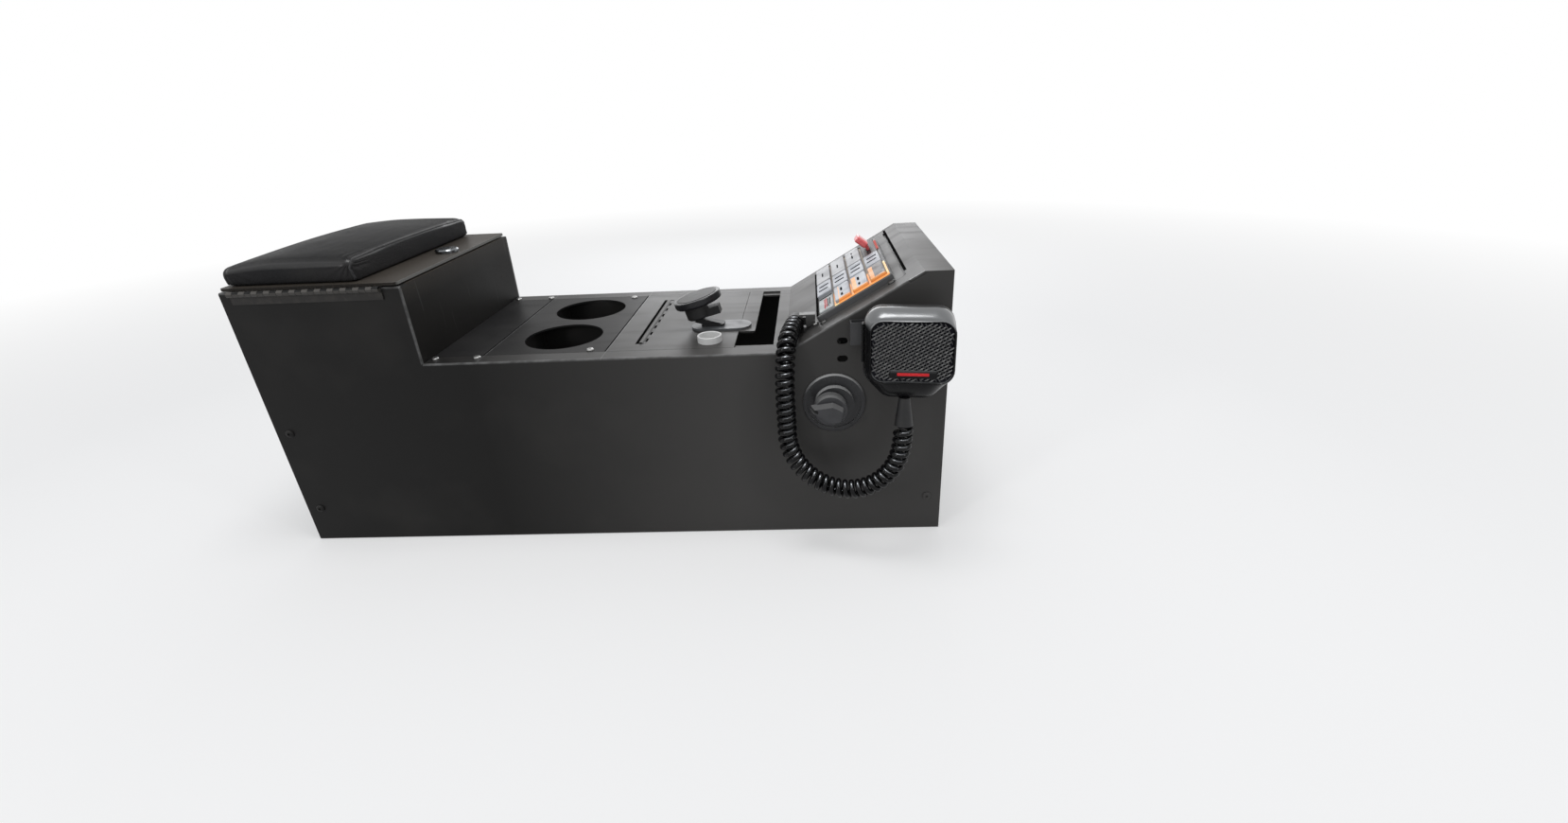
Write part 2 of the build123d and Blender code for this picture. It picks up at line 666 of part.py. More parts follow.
def hinge_leaf_fixed():
    """The leaf on the near wall, wrapped round the pin at every other knuckle."""
    top = HINGE_Z - KNUCKLE_R - KNUCKLE_PLAY
    leaf = block(HINGE_X, HINGE_X + HINGE_LEN, NEAR - LEAF_T, NEAR, HINGE_Z - LEAF_W, top)
    for x in knuckle_places(0):
        leaf += block(x, x + KNUCKLE_PITCH / 2 - KNUCKLE_PLAY, NEAR - LEAF_T, NEAR, top - LEAF_T, HINGE_Z)
    return knuckle_barrel(leaf, 0, PIN_R)


def hinge_leaf_moving():
    """The leaf under the lid, wrapped round the pin between the fixed knuckles."""
    z1 = HINGE_Z + KNUCKLE_R
    edge = HINGE_Y + KNUCKLE_R + KNUCKLE_PLAY
    leaf = block(HINGE_X, HINGE_X + HINGE_LEN, edge, NEAR + LEAF_W, z1 - LEAF_T, z1)
    for x in knuckle_places(1):
        leaf += block(x, x + KNUCKLE_PITCH / 2 - KNUCKLE_PLAY, HINGE_Y, edge + LEAF_T, z1 - LEAF_T, z1)
    return knuckle_barrel(leaf, 1, PIN_R + PIN_PLAY)


def hinge_pin():
    """The pin through all knuckles."""
    return disc_x(HINGE_X, HINGE_Y, HINGE_Z, PIN_R, HINGE_LEN)


def phone_base():
    """The thin stuck-down plate with round ends."""
    length, width, thick = PHONE_BASE
    plate = Pos(BALL[0] - PHONE_BASE_BACK + length / 2, BALL[1], DECK_H) * SlotOverall(length, width)
    return extrude(plate, thick)


def phone_arm():
    """The foot, the slanting flat arm, the neck and the ball on its end."""
    x, y, z = BALL
    z0 = DECK_H + PHONE_BASE[2]
    foot_len, foot_w, foot_t = FOOT
    foot = rounded(x + ARM_REACH + SHEET - foot_len, x + ARM_REACH + SHEET, y - foot_w / 2, y + foot_w / 2,
                   z0, z0 + foot_t, foot_w / 4)
    high = z - NECK_DROP + ARM_T / 2
    arm = slab([(x - NECK_R, high - ARM_T), (x - NECK_R, high), (x + BALL_R, high), (x + ARM_REACH, z0 + foot_t),
                (x + ARM_REACH, z0), (x + ARM_REACH / 2, z0)], y - ARM_W / 2, y + ARM_W / 2)
    neck = disc_z(x, y, NECK_R, z - NECK_DROP, z)
    return foot + arm + neck + Pos(*BALL) * Sphere(BALL_R)


def phone_collar():
    """The socket that tilts on the ball, open below, with its clamp lug ahead."""
    cup = Pos(0, 0, -COLLAR_LOW) * Cylinder(COLLAR_R, COLLAR_LOW + COLLAR_TOP, align=RISING)
    cup = chamfer(cup.faces().sort_by(Axis.Z)[0].edges(), COLLAR_LOW / 3)
    lug_len, lug_w, lug_h = CLAMP
    cup += Pos(lug_len / 2, 0, CLAMP_TOP - lug_h) * Box(lug_len, lug_w, lug_h, align=RISING)
    cup -= Sphere(BALL_R + BALL_PLAY)
    cup -= Pos(0, 0, CLAMP_TOP - lug_h) * Cone(COLLAR_MOUTH_R, BALL_R, lug_h - CLAMP_TOP, align=RISING)
    spigot = Cylinder(SPIGOT_R + PIN_PLAY, SPIGOT_LEN + CUT_OVER, align=RISING)
    return HEAD_AXIS * (cup - Pos(HEAD_FORWARD, 0, COLLAR_TOP - SPIGOT_LEN) * spigot)


def phone_head():
    """The round holding head on the socket's top."""
    low = COLLAR_TOP + HEAD_GAP
    head = Pos(0, 0, low) * Cylinder(HEAD_R, HEAD_T, align=RISING)
    head = fillet(head.faces().sort_by(Axis.Z)[0].edges(), HEAD_T / 3)
    head = chamfer(head.faces().sort_by(Axis.Z)[-1].edges(), HEAD_T / 10)
    spigot = Cylinder(SPIGOT_R, SPIGOT_LEN + CUT_OVER, align=RISING)
    return HEAD_AXIS * Pos(HEAD_FORWARD, 0, 0) * (head + Pos(0, 0, low - SPIGOT_LEN) * spigot)


def mic_outline(inset):
    """The microphone's front outline: broad above, tapering to a narrow foot."""
    w = MIC_W / 2 - inset
    top = MIC_H / 2 - inset
    chin_in, chin_h = MIC_CHIN
    pts = [(-w, top), (w, top), (w, chin_h - top), (w - chin_in, -top), (chin_in - w, -top), (-w, chin_h - top)]
    return make_face(FilletPolyline(*pts, radius=MIC_CORNER_R - inset, close=True))


def mic_slice(face, y0, y1):
    """A layer of the microphone between two distances from its back."""
    return MIC * extrude(Plane.XZ.offset(y0) * face, y1 - y0)


def mic_back():
    """The rear half of the microphone's case."""
    shell = mic_slice(mic_outline(0), 0, MIC_T * MIC_SPLIT)
    return fillet(shell.faces().sort_by(Axis.Y)[-1].edges(), MIC_BACK_EASE)


def mic_front():
    """The front half, rounded over, with a pocket for the grille."""
    shell = mic_slice(mic_outline(0), MIC_T * MIC_SPLIT + PLATE_GAP, MIC_T)
    shell = fillet(shell.faces().sort_by(Axis.Y)[0].edges(), MIC_FRONT_EASE)
    return shell - grille_layer(0, MIC_T + CUT_OVER)


def grille_layer(play, out):
    """The rounded space of the grille, from its pocket's floor outwards."""
    width, height, r = GRILLE
    face = Pos(GRILLE_FORWARD, GRILLE_UP) * RectangleRounded(width - 2 * play, height - 2 * play, r)
    return mic_slice(face, MIC_T - GRILLE_DEEP, out)


def mic_grille():
    """The woven grille's plate."""
    return grille_layer(GRILLE_PLAY, MIC_T + GRILLE_PROUD)


def mic_button():
    """The long talk button on the microphone's rear edge."""
    out, deep, tall = BUTTON
    y1 = -MIC_T * MIC_SPLIT + deep / 2
    button = block(-MIC_W / 2 - out, -MIC_W / 2, y1 - deep, y1, BUTTON_UP - tall / 2, BUTTON_UP + tall / 2)
    return MIC * fillet(button.faces().sort_by(Axis.X)[0].edges(), min(BUTTON_EASE, out / 2))


def mic_stud():
    """The hang-up stud behind the microphone, its head caught behind the clip's lips."""
    half = STUD_HEAD_T / 2
    neck = disc_y(STUD_X, STUD_UP, STUD_NECK_R, 0, STUD_REACH)
    return MIC * (neck + disc_y(STUD_X, STUD_UP, STUD_HEAD_R, STUD_REACH - half, STUD_REACH + half))


def mic_clip():
    """The folded hang-up clip on the near wall, slotted from the top."""
    x0, x1 = STUD.X - CLIP_W / 2, STUD.X + CLIP_W / 2
    z0 = STUD.Z - CLIP_H * CLIP_BELOW
    z1 = z0 + CLIP_H
    clip = block(x0, x1, NEAR - CLIP_DEPTH, NEAR, z0, z1)
    clip -= block(x0 + CLIP_T, x1 - CLIP_T, NEAR - CLIP_DEPTH + CLIP_T, NEAR - CLIP_T,
                  z0 - CUT_OVER, z1 + CUT_OVER)
    half = CLIP_SLOT / 2
    return clip - block(STUD.X - half, STUD.X + half, NEAR - CLIP_DEPTH - CUT_OVER, NEAR - CLIP_DEPTH + 2 * CLIP_T,
                        STUD.Z - half, z1 + CUT_OVER)


def side_flange():
    """The dished round flange on the near wall, with its collar and shaft."""
    face_y = NEAR - KNOB_FLANGE_T
    flange = disc_y(KNOB_X, KNOB_Z, KNOB_FLANGE_R, face_y, NEAR)
    flange = chamfer(flange.faces().sort_by(Axis.Y)[0].edges(), KNOB_DISH)
    flange -= disc_y(KNOB_X, KNOB_Z, KNOB_FLANGE_R - KNOB_RING_W, face_y - CUT_OVER, face_y + KNOB_DISH)
    collar_r, collar_len = KNOB_COLLAR
    flange += disc_y(KNOB_X, KNOB_Z, collar_r, face_y - collar_len, face_y + KNOB_DISH)
    return flange + disc_y(KNOB_X, KNOB_Z, KNOB_SHAFT_R, NEAR - KNOB_FLANGE_T / 2, NEAR + SHEET + KNOB_TAIL)


def side_pointer():
    """The pointer knob on the flange's collar: a hub and a tapered nose, forked at its tip."""
    seat_y = NEAR - KNOB_FLANGE_T - KNOB_COLLAR[1]
    hub_r, hub_len = KNOB_HUB
    x, z = KNOB_X + HUB_STEP[0], KNOB_Z + HUB_STEP[1]
    hub = disc_y(x, z, hub_r, seat_y - hub_len, seat_y)
    hub = chamfer(hub.faces().sort_by(Axis.Y)[0].edges(), hub_len / 5)
    length, width, height = POINTER
    nose_at = Pos(x, seat_y - hub_len + KNOB_DISH, z) * Rot(0, POINTER_TURN, 0) * Rot(90, 0, 0)
    tip = -length / 2 - POINTER_BACK
    tail = length / 2 - POINTER_BACK
    nose = FilletPolyline((tip, 0), (0, -width / 2), (tail, -width / 3), (tail, width / 3), (0, width / 2),
                          radius=width / 8, close=True)
    grip = extrude(make_face(nose), height, taper=8)
    fork_len, fork_w = POINTER_FORK
    fork = Pos(tip, 0, 0) * Box(2 * fork_len, fork_w, 3 * height)
    return hub + nose_at * (grip - fork)


def cord_radii():
    """Each bend's radius, from its two runs and its turn."""
    pts = [Vector(*p) for p in CORD]
    radii = []
    for a, b, c in zip(pts, pts[1:], pts[2:]):
        turn = radians((b - a).get_angle(c - b))
        radii.append(CORD_ARC * min((b - a).length, (c - b).length) / tan(turn / 2))
    return radii


def curly_cord():
    """The coiled cord's outer form."""
    radii = cord_radii()
    print("cord radii", [round(r, 1) for r in radii])
    path = FilletPolyline(*CORD, radius=radii)
    start = Plane(origin=path @ 0, z_dir=path % 0)
    tube = sweep(start * Circle(COIL_D / 2), path=path)
    share = tube.volume / (path.length * pi * COIL_D ** 2 / 4)
    print("cord length", round(path.length, 1), "volume share", round(share, 4))
    return tube


def lead_place():
    """Where the cord's lead turns down from its moulded end."""
    end = Vector(*CORD[0])
    return end + (end - Vector(*CORD[1])).normalized() * LEAD_REACH


def cord_anchor():
    """The cord's moulded end on the slope, with its lead going down through the plate."""
    end = Vector(*CORD[0])
    lead = lead_place()
    collar = Plane(origin=end, z_dir=lead - end) * Cylinder(COIL_D / 2 - 1, ANCHOR_LEN, align=RISING)
    surface = slope_height(lead.X)
    stub = disc_z(lead.X, lead.Y, LEAD_R, surface - LEAD_DEEP, lead.Z)
    tab_y = NEAR + TAB_IN
    tab_x = on_slope(TAB_S)[0]
    middle = DECK_H + TAB_H / 2
    pad = block(lead.X, tab_x + LEAD_R, tab_y, tab_y + LEAD_REACH, middle + LEAD_R / 2, DECK_H + TAB_H - LEAD_R)
    length, width, thick = ANCHOR_FOOT
    x0, x1 = lead.X - length / 2, lead.X + length / 2
    foot = slab([(x0, slope_height(x0)), (x1, slope_height(x1)), (x1, slope_height(x1) + thick),
                 (x0, slope_height(x0) + thick)], lead.Y - width / 2, lead.Y + width / 2)
    return collar + stub + foot + pad


def cord_tab():
    """The bent steel tab below the key panel's near lower corner that holds the cord's end."""
    y1 = NEAR + TAB_IN
    high = DECK_H + TAB_H + TAB_T
    foot = SLOPE * block(TAB_S, PANEL_S - TAB_CLEAR, y1 - TAB_W, y1, 0, TAB_T)
    low = on_slope(TAB_S)
    up = on_slope(PANEL_S - TAB_RISER_CLEAR)
    riser = slab([low, up, (up[0], high), (low[0], high)], y1 - TAB_T, y1)
    return foot + riser + block(low[0] - TAB_REACH_BACK, up[0], y1 - TAB_W, y1, high - TAB_T, high)


def mic_relief():
    """The tapered strain relief under the microphone."""
    foot = Pos(RELIEF_OFF, -MIC_T / 2, -MIC_H / 2 - RELIEF_LEN)
    return MIC * foot * Cone(COIL_D / 2 - 1, RELIEF_TIP_R, RELIEF_LEN, align=RISING)


NODES = {
    "side_panel_near": slotted_near_panel,
    "side_panel_far": lambda: side_panel(1),
    "plate_ledge_near": lambda: plate_ledge(-1),
    "plate_ledge_far": lambda: plate_ledge(1),
    "rear_panel": rear_panel,
    "front_panel": front_panel,
    "box_front_wall": box_front_wall,
    "box_floor": box_floor,
    "rear_trim_plate": rear_trim_plate,
    "cup_plate": cup_plate,
    "cup_tray": cup_tray,
    "cup_mats": cup_mats,
    "deck_plate": deck_plate,
    "slot_bracket": slot_bracket,
    "filler_plate": filler_plate,
    "socket_ring": socket_ring,
    "socket_cup": socket_cup,
    "slope_panel": slope_panel,
    "top_panel": top_panel,
    "panel_housing": panel_housing,
    "panel_face": panel_face,
    "white_keys": white_keys,
    "label_plate": lambda: SLOPE * key_cell(0, "near", LABEL_H),
    "dark_key": lambda: SLOPE * key_cell(KEY_ROWS - 1, "near", KEY_H),
    "backlight": backlight,
    "slide_track": slide_track,
    "slide_lever": slide_lever,
    "lid_plate": lid_plate,
    "lid_cushion": cushion,
    "lid_lock": lid_lock,
    "hinge_leaf_fixed": hinge_leaf_fixed,
    "hinge_leaf_moving": hinge_leaf_moving,
    "hinge_pin": hinge_pin,
    "phone_base": phone_base,
    "phone_arm": phone_arm,
    "phone_collar": phone_collar,
    "phone_head": phone_head,
    "mic_back": mic_back,
    "mic_front": mic_front,
    "mic_grille": mic_grille,
    "mic_button": mic_button,
    "mic_stud": mic_stud,
    "mic_clip": mic_clip,
    "mic_relief": mic_relief,
    "side_flange": side_flange,
    "side_pointer": side_pointer,
    "cord_tab": cord_tab,
    "cord_anchor": cord_anchor,
    "curly_cord": curly_cord,
}

for node, make in NODES.items():
    export_step(make(), f"parts/{node}.step")
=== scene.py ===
"""The looks of a patrol car's centre equipment console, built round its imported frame.

X runs forward, Y towards the driver and Z up, in metres, with the floor at Z = 0.
"""
from functools import partialmethod
from math import cos, pi, radians, sin, tan

import bmesh
import bpy
from mathutils import Matrix, Vector
from mathutils.bvhtree import BVHTree
from mathutils.kdtree import KDTree


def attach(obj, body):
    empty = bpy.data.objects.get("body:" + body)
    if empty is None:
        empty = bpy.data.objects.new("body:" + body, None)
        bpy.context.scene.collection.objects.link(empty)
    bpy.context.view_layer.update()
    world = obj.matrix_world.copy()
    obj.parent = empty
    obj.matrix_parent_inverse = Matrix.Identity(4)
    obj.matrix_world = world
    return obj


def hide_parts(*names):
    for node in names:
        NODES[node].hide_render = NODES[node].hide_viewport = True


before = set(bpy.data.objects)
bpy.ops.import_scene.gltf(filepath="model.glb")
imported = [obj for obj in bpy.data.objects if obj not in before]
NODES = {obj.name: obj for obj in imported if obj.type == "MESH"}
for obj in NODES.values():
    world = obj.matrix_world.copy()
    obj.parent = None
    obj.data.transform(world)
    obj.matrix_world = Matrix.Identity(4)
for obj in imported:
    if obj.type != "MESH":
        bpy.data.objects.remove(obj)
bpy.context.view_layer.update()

# The console's own places
NEAR = -0.119
FRONT = 0.336
DECK = 0.2
RIM = 0.276
BOX_FRONT = -0.164
SLOPE_FOOT = 0.184
SLOPE_TOP = 0.31
CUP_SEAM = 0.008
TRIM_SEAM = -0.113
HINGE_OUT = -0.1205
HINGE_MID = 0.2748
PAD_REAR = -0.3325
PAD_FRONT = -0.2065
PAD_HALF = 0.114
PAD_FOOT = 0.2801
PAD_TOP = 0.3022
PAD_ROUND = 0.0105
PAD_SAG = 0.0055
SAG_RUN = 0.05
PAD_SWELL = 0.003
CLOTH_FRAMES = 20
THREAD_R = 0.0012
SEAM_STEP = 0.0012
THREAD_STEP = 0.0014
SEAM_IN = 0.0015
SEAM_HOLD = 0.0026
SEAM_DEPTH = 0.0026
SEAM_REACH = 0.0045
PITCH = radians(29.8)
PANEL_FOOT = 0.038
PANEL_LEN = 0.081
PANEL_NEAR = -0.092
PANEL_WIDE = 0.172
PANEL_RAISE = 0.006
KEY_TOP = 0.0095
KEY_FIRST = 0.0418
KEY_STEP = 0.019
KEY_LEN = 0.0166
COLUMNS = {"near": (-0.087, 0.046), "middle": (-0.038, 0.043), "far": (0.008, 0.062)}
LAMPLIT_X = 0.236
LAMPLIT_Y = -0.045
GLOW_X = 0.232
GLOW_Y = -0.046
LABEL_TOP = 0.007
SLOPE_JOINT = (0.1311, 0.0135)
SLOPE = Matrix.Translation((SLOPE_FOOT, 0, DECK)) @ Matrix.Rotation(-PITCH, 4, "Y")
PHONE_BALL = (0.091, -0.032, 0.215)
HEAD_LEAN = radians(-15)
MIC = (Matrix.Translation((0.295, -0.14, 0.208)) @ Matrix.Rotation(radians(-8), 4, "Z")
       @ Matrix.Rotation(radians(-6), 4, "X"))
UPRIGHT = Matrix.Rotation(pi / 2, 4, "X")
MIC_DEEP = 0.03
GRILLE_MID = (0.003, 0.004)
GRILLE_SIZE = (0.069, 0.0515)
GRILLE_R = 0.01
WEAVE_PITCH = 0.0027
WEAVE_TURN = radians(31)
WEFT_R = 0.00062
WARP_R = 0.00046

# Printed and thin pieces: how far they stand up, and how far their edges are eased
INK_THICK = 0.0001
MARK_THICK = 0.00012
INK_EASE = 0.00003
STRIP_EASE = 0.0003

# The curly cord's route, the wire and its coil
CORD = [
    (0.1935, -0.087, 0.218), (0.1903, -0.1045, 0.2173), (0.186, -0.1246, 0.212), (0.184, -0.1367, 0.1935),
    (0.183, -0.1396, 0.166), (0.1836, -0.14, 0.14), (0.1835, -0.141, 0.1129), (0.1976, -0.145, 0.0874),
    (0.2225, -0.151, 0.0724), (0.2515, -0.1576, 0.0728), (0.2755, -0.1625, 0.0895), (0.2896, -0.1642, 0.1166),
    (0.29, -0.1614, 0.1434)]
WIRE_R = 0.0026
COIL_R = 0.0068
TURN = 0.007
COIL_STEP = 0.00024
WIRE_STEP = 0.0016
COIL_OPENS = 0.003
COIL_CLOSES = 0.006

# The photograph's camera
EYE = (0.2117, -0.7007, 0.4168)
LOOK_LEFT = 0.054
LOOK_DOWN = 0.444
LEAN = 0.051
SENSOR = 36
FOCAL = 702.2 / 1658 * SENSOR

# Where a painted sheen, lighter towards the front, begins on the plates and the floor begins to be seen plain
# white, and over what runs
SHEEN_FROM = -0.12
SHEEN_OVER = 0.25
WHITE_FROM = 0.9
WHITE_OVER = 1.4


class Value:
    """A number or colour in a finish's nodes, which can be added, multiplied and compared."""

    def __init__(self, nodes, socket):
        self.nodes = nodes
        self.socket = socket

    def maths(self, operation, other=0.0, clamp=False):
        return self.nodes.node("ShaderNodeMath", {0: self, 1: other}, operation=operation, use_clamp=clamp)

    __add__ = __radd__ = partialmethod(maths, "ADD")
    __sub__ = partialmethod(maths, "SUBTRACT")
    __mul__ = __rmul__ = partialmethod(maths, "MULTIPLY")
    __truediv__ = partialmethod(maths, "DIVIDE")
    __pow__ = partialmethod(maths, "POWER")
    __gt__ = partialmethod(maths, "GREATER_THAN")
    __lt__ = partialmethod(maths, "LESS_THAN")
    size = partialmethod(maths, "ABSOLUTE")
    wave = partialmethod(maths, "SINE")
    or_more = partialmethod(maths, "MAXIMUM")

    def __rsub__(self, other):
        return self * -1.0 + other

    def limited(self):
        """Held between 0 and 1."""
        return self.maths("ADD", 0.0, clamp=True)

    def near(self, place, width):
        """1 at a place, falling to 0 at a width from it."""
        return (1.0 - (self - place).size() / width).limited()


class Nodes:
    """A tree of nodes, each made with its settings and with its sockets' values or links."""

    def __init__(self, tree):
        self.tree = tree

    def made_node(self, kind, values=(), stops=(), **settings):
        """A node of a kind: first its settings, then its ramp's stops and its sockets."""
        made = self.tree.nodes.new(kind)
        for name, value in settings.items():
            setattr(made, name, value)
        for i, (at, tone) in enumerate(stops):
            made.color_ramp.elements[i].position = at
            made.color_ramp.elements[i].color = (tone, tone, tone, 1)
        for key, value in dict(values).items():
            self.link(made.inputs[key], value)
        return made

    def node(self, kind, values=(), output=0, **settings):
        """One output of a new node."""
        return Value(self, self.made_node(kind, values, **settings).outputs[output])

    def link(self, socket, value):
        value = value.socket if isinstance(value, Value) else value
        if isinstance(value, bpy.types.NodeSocket):
            self.tree.links.new(value, socket)
        else:
            socket.default_value = value

    def seen(self):
        """1 where the camera sees it straight, in gloss or through glass, and 0 where it only lights."""
        straight, gloss, glass = (self.node("ShaderNodeLightPath", output=f"Is {kind} Ray")
                                  for kind in ("Camera", "Glossy", "Transmission"))
        return straight.or_more(gloss).or_more(glass)


class Finish(Nodes):
    """One material on a Principled surface, whose nodes are written as sums."""

    def __init__(self, name, colour, roughness, **fixed):
        self.material = bpy.data.materials.new(name)
        self.material.use_nodes = True
        super().__init__(self.material.node_tree)
        self.surface = self.tree.nodes["Principled BSDF"]
        self.set(Base_Color=(*colour, 1), Roughness=roughness, **fixed)
        self.place = self.node("ShaderNodeTexCoord", output="Object")
        self.x, self.y, self.z = (
            self.node("ShaderNodeSeparateXYZ", {0: self.place}, output=i) for i in range(3))

    def set(self, **sockets):
        """Feeds the surface's sockets with values or with what varies over it."""
        for name, value in sockets.items():
            self.link(self.surface.inputs[name.replace("_", " ")], value)

    def turned(self, angles, stretch):
        return self.node("ShaderNodeMapping", {"Vector": self.place, "Rotation": angles, "Scale": stretch})

    def noise(self, scale, detail, place=None):
        values = {"Vector": place or self.place, "Scale": scale, "Detail": detail, "Roughness": 0.55}
        return self.node("ShaderNodeTexNoise", values)

    def cells(self, scale, **settings):
        values = {"Vector": self.place, "Scale": scale}
        return self.node("ShaderNodeTexVoronoi", values, output="Distance", **settings)

    def ramp(self, value, *stops):
        """A grey from one tone to another between two levels."""
        return self.node("ShaderNodeValToRGB", {0: value}, stops=stops)

    def patches(self, scale, detail, low, high, place=None):
        """Blotches of noise, 0 below one level and 1 above another."""
        return self.ramp(self.noise(scale, detail, place), (low, 0), (high, 1))

    def mix(self, share, first, second):
        """A colour between two, by a share from 0 to 1."""
        first, second = (c if isinstance(c, Value) else (*c, 1) for c in (first, second))
        return self.node("ShaderNodeMix", {0: share, 6: first, 7: second}, output=2, data_type="RGBA")

    def facing(self, axis):
        """How far the surface faces along an axis."""
        normal = self.node("ShaderNodeTexCoord", output="Normal")
        return self.node("ShaderNodeSeparateXYZ", {0: normal}, output="XYZ".index(axis))

    def bump(self, height, depth, strength=1.0):
        """A relief of a depth in metres."""
        values = {"Height": height, "Distance": depth, "Strength": strength}
        self.set(Normal=self.node("ShaderNodeBump", values))


def scaled(colour, share):
    """A colour made darker or lighter."""
    return tuple(c * share for c in colour)


def powder_coat(name, colour, gloss, roughness, dust_and_sheen):
    """Satin black coat on folded steel: fine orange peel, dust lying on the tops, folded edges and seam lips
    made lighter, and a painted sheen that grows lighter towards the front.
    """
    f = Finish(name, colour, roughness, Specular_IOR_Level=gloss)
    top = f.facing("Z").limited()
    clouds = f.patches(14, 4, 0.38, 0.72)
    specks = f.patches(420, 2, 0.66, 0.75)
    dust = ((top * (clouds * 0.14 + 0.05) + specks * (top * 0.12 + 0.03)) * dust_and_sheen).limited()
    smear = f.patches(1, 3, 0.5, 0.75, f.turned((0, 0, 0.4), (9, 60, 9)))
    slope = (f.x - SLOPE_FOOT).or_more(0.0) * tan(PITCH)
    folded = f.z.near(slope + DECK, 0.002) * (f.x > BOX_FRONT) * (f.x < SLOPE_TOP)
    rim = f.z.near(RIM, 0.002) * (f.x < BOX_FRONT + 0.003)
    upright = f.x.near(BOX_FRONT, 0.0016) * (f.z > DECK)
    side = f.y.size() > -NEAR - 0.0022
    lips = f.x.near(CUP_SEAM + 0.0012, 0.0007) + f.x.near(TRIM_SEAM + 0.0012, 0.0007)
    seams = lips * (f.z > DECK - 0.001)
    chips = f.ramp(f.noise(90, 3), (0.3, 0.15), (0.7, 1))
    # Folded edges and the lips beside the seams are made lighter, broken up by noise.
    lightened = (((folded + rim + upright) * side + seams) * chips).limited()
    # Painted sheen: the coat is painted lighter towards the front, standing in for reflected light.
    painted_sheen = ((f.x - SHEEN_FROM) / SHEEN_OVER).limited() * 0.32 * dust_and_sheen
    base = f.mix((dust + painted_sheen).limited(), colour, (0.15, 0.145, 0.14))
    base = f.mix(smear * 0.12 * dust_and_sheen, base, (0.07, 0.065, 0.06))
    f.set(Base_Color=f.mix(lightened * 0.75, base, (0.2, 0.2, 0.2)))
    f.set(Roughness=roughness - 0.04 + clouds * 0.1 + specks * 0.05 + smear * 0.08 - lightened * 0.08)
    f.bump(f.noise(260, 2), 0.00002, 0.3)
    return f.material


def box_coat():
    """The same coat on the armrest box and lid, browner with dust towards the hinge."""
    f = Finish("box_coat", (0.006, 0.0057, 0.0054), 0.44, Specular_IOR_Level=0.08)
    clouds = f.patches(11, 4, 0.35, 0.75)
    specks = f.patches(380, 2, 0.64, 0.74)
    high = f.z.near(RIM, 0.02)
    top = f.facing("Z").limited()
    dust = (clouds * 0.03 + high * 0.12 + top * 0.2 + specks * (0.04 + high * 0.2)).limited()
    scuffs = f.patches(1, 2, 0.66, 0.74, f.turned((0, 0.5, 0), (220, 220, 14)))
    lid_edge = f.x.near(BOX_FRONT - 0.002, 0.0012) * (f.z > RIM)
    side_edge = f.y.size().near(-NEAR - 0.002, 0.0012) * f.x.near(BOX_FRONT, 0.001)
    base = f.mix(dust, (0.006, 0.0057, 0.0054), (0.14, 0.12, 0.1))
    base = f.mix(scuffs * 0.2, base, (0.08, 0.08, 0.08))
    f.set(Base_Color=f.mix((lid_edge + side_edge).limited() * 0.6, base, (0.22, 0.22, 0.21)))
    f.set(Roughness=0.42 + clouds * 0.12 + specks * 0.15)
    f.bump(f.noise(850, 2) * 0.5 + f.noise(240, 2) * 0.5, 0.00012, 0.5)
    return f.material


def hinge_steel(name, knuckle, crown, leaf):
    """Coated strip hinge, lighter along its barrel, with dust beside it, and the knuckles' tops painted in a
    tone of their own as light or shade.
    """
    f = Finish(name, leaf, 0.48, Specular_IOR_Level=0.2)
    dust = f.patches(160, 3, 0.48, 0.75)
    barrel = f.y < HINGE_OUT
    below = f.mix(dust * 0.4, knuckle, scaled(knuckle, 1.8))
    # Painted light and shade on the knuckles' tops: lighter on the fixed leaf as a highlight, near black on
    # the moving leaf as shade between the knuckles.
    round_it = f.mix(f.z > HINGE_MID + 0.0008, below, crown)
    f.set(Base_Color=f.mix(barrel, f.mix(dust * 0.2, leaf, (0.1, 0.09, 0.08)), round_it))
    f.set(Roughness=0.4 + dust * 0.25)
    f.bump(dust, 0.00006, 0.4)
    return f.material


def moulded_black():
    """Lightly textured black plastic."""
    f = Finish("moulded_black", (0.014, 0.014, 0.015), 0.38, Specular_IOR_Level=0.3)
    grain = f.cells(1400)
    clouds = f.noise(35, 3)
    dust = f.ramp(clouds, (0.45, 0), (0.8, 0.5))
    f.set(Base_Color=f.mix(dust, (0.013, 0.013, 0.014), (0.04, 0.038, 0.035)))
    f.set(Roughness=0.36 + clouds * 0.16)
    f.bump(grain, 0.00008, 0.5)
    return f.material


def glossy_black():
    """Black plastic with a painted sheen, lighter and metallic where it looks up, with faint fingerprints and
    hairline scratches.
    """
    f = Finish("glossy_black", (0.004, 0.004, 0.0045), 0.22, Specular_IOR_Level=0.12, Coat_Roughness=0.16)
    prints = f.patches(60, 3, 0.45, 0.65)
    hair = f.patches(1, 2, 0.68, 0.74, f.turned((0.3, 0.2, 0.5), (900, 60, 900)))
    # Painted highlight: where it looks up the black is painted lighter and metallic, standing in for
    # reflected light from above.
    painted_top_sheen = ((f.facing("Z") - 0.2) * 3).limited()
    f.set(Base_Color=f.mix((hair * 0.2 + painted_top_sheen).limited(), (0.004, 0.004, 0.0045), (0.13, 0.134, 0.138)))
    f.set(Metallic=painted_top_sheen * 0.55, Roughness=0.2 + painted_top_sheen * 0.08 + prints * 0.1 + hair * 0.12)
    f.set(Coat_Weight=0.04 + painted_top_sheen * (0.96 - prints * 0.25))
    f.bump(f.noise(700, 2), 0.00003, 0.4)
    return f.material


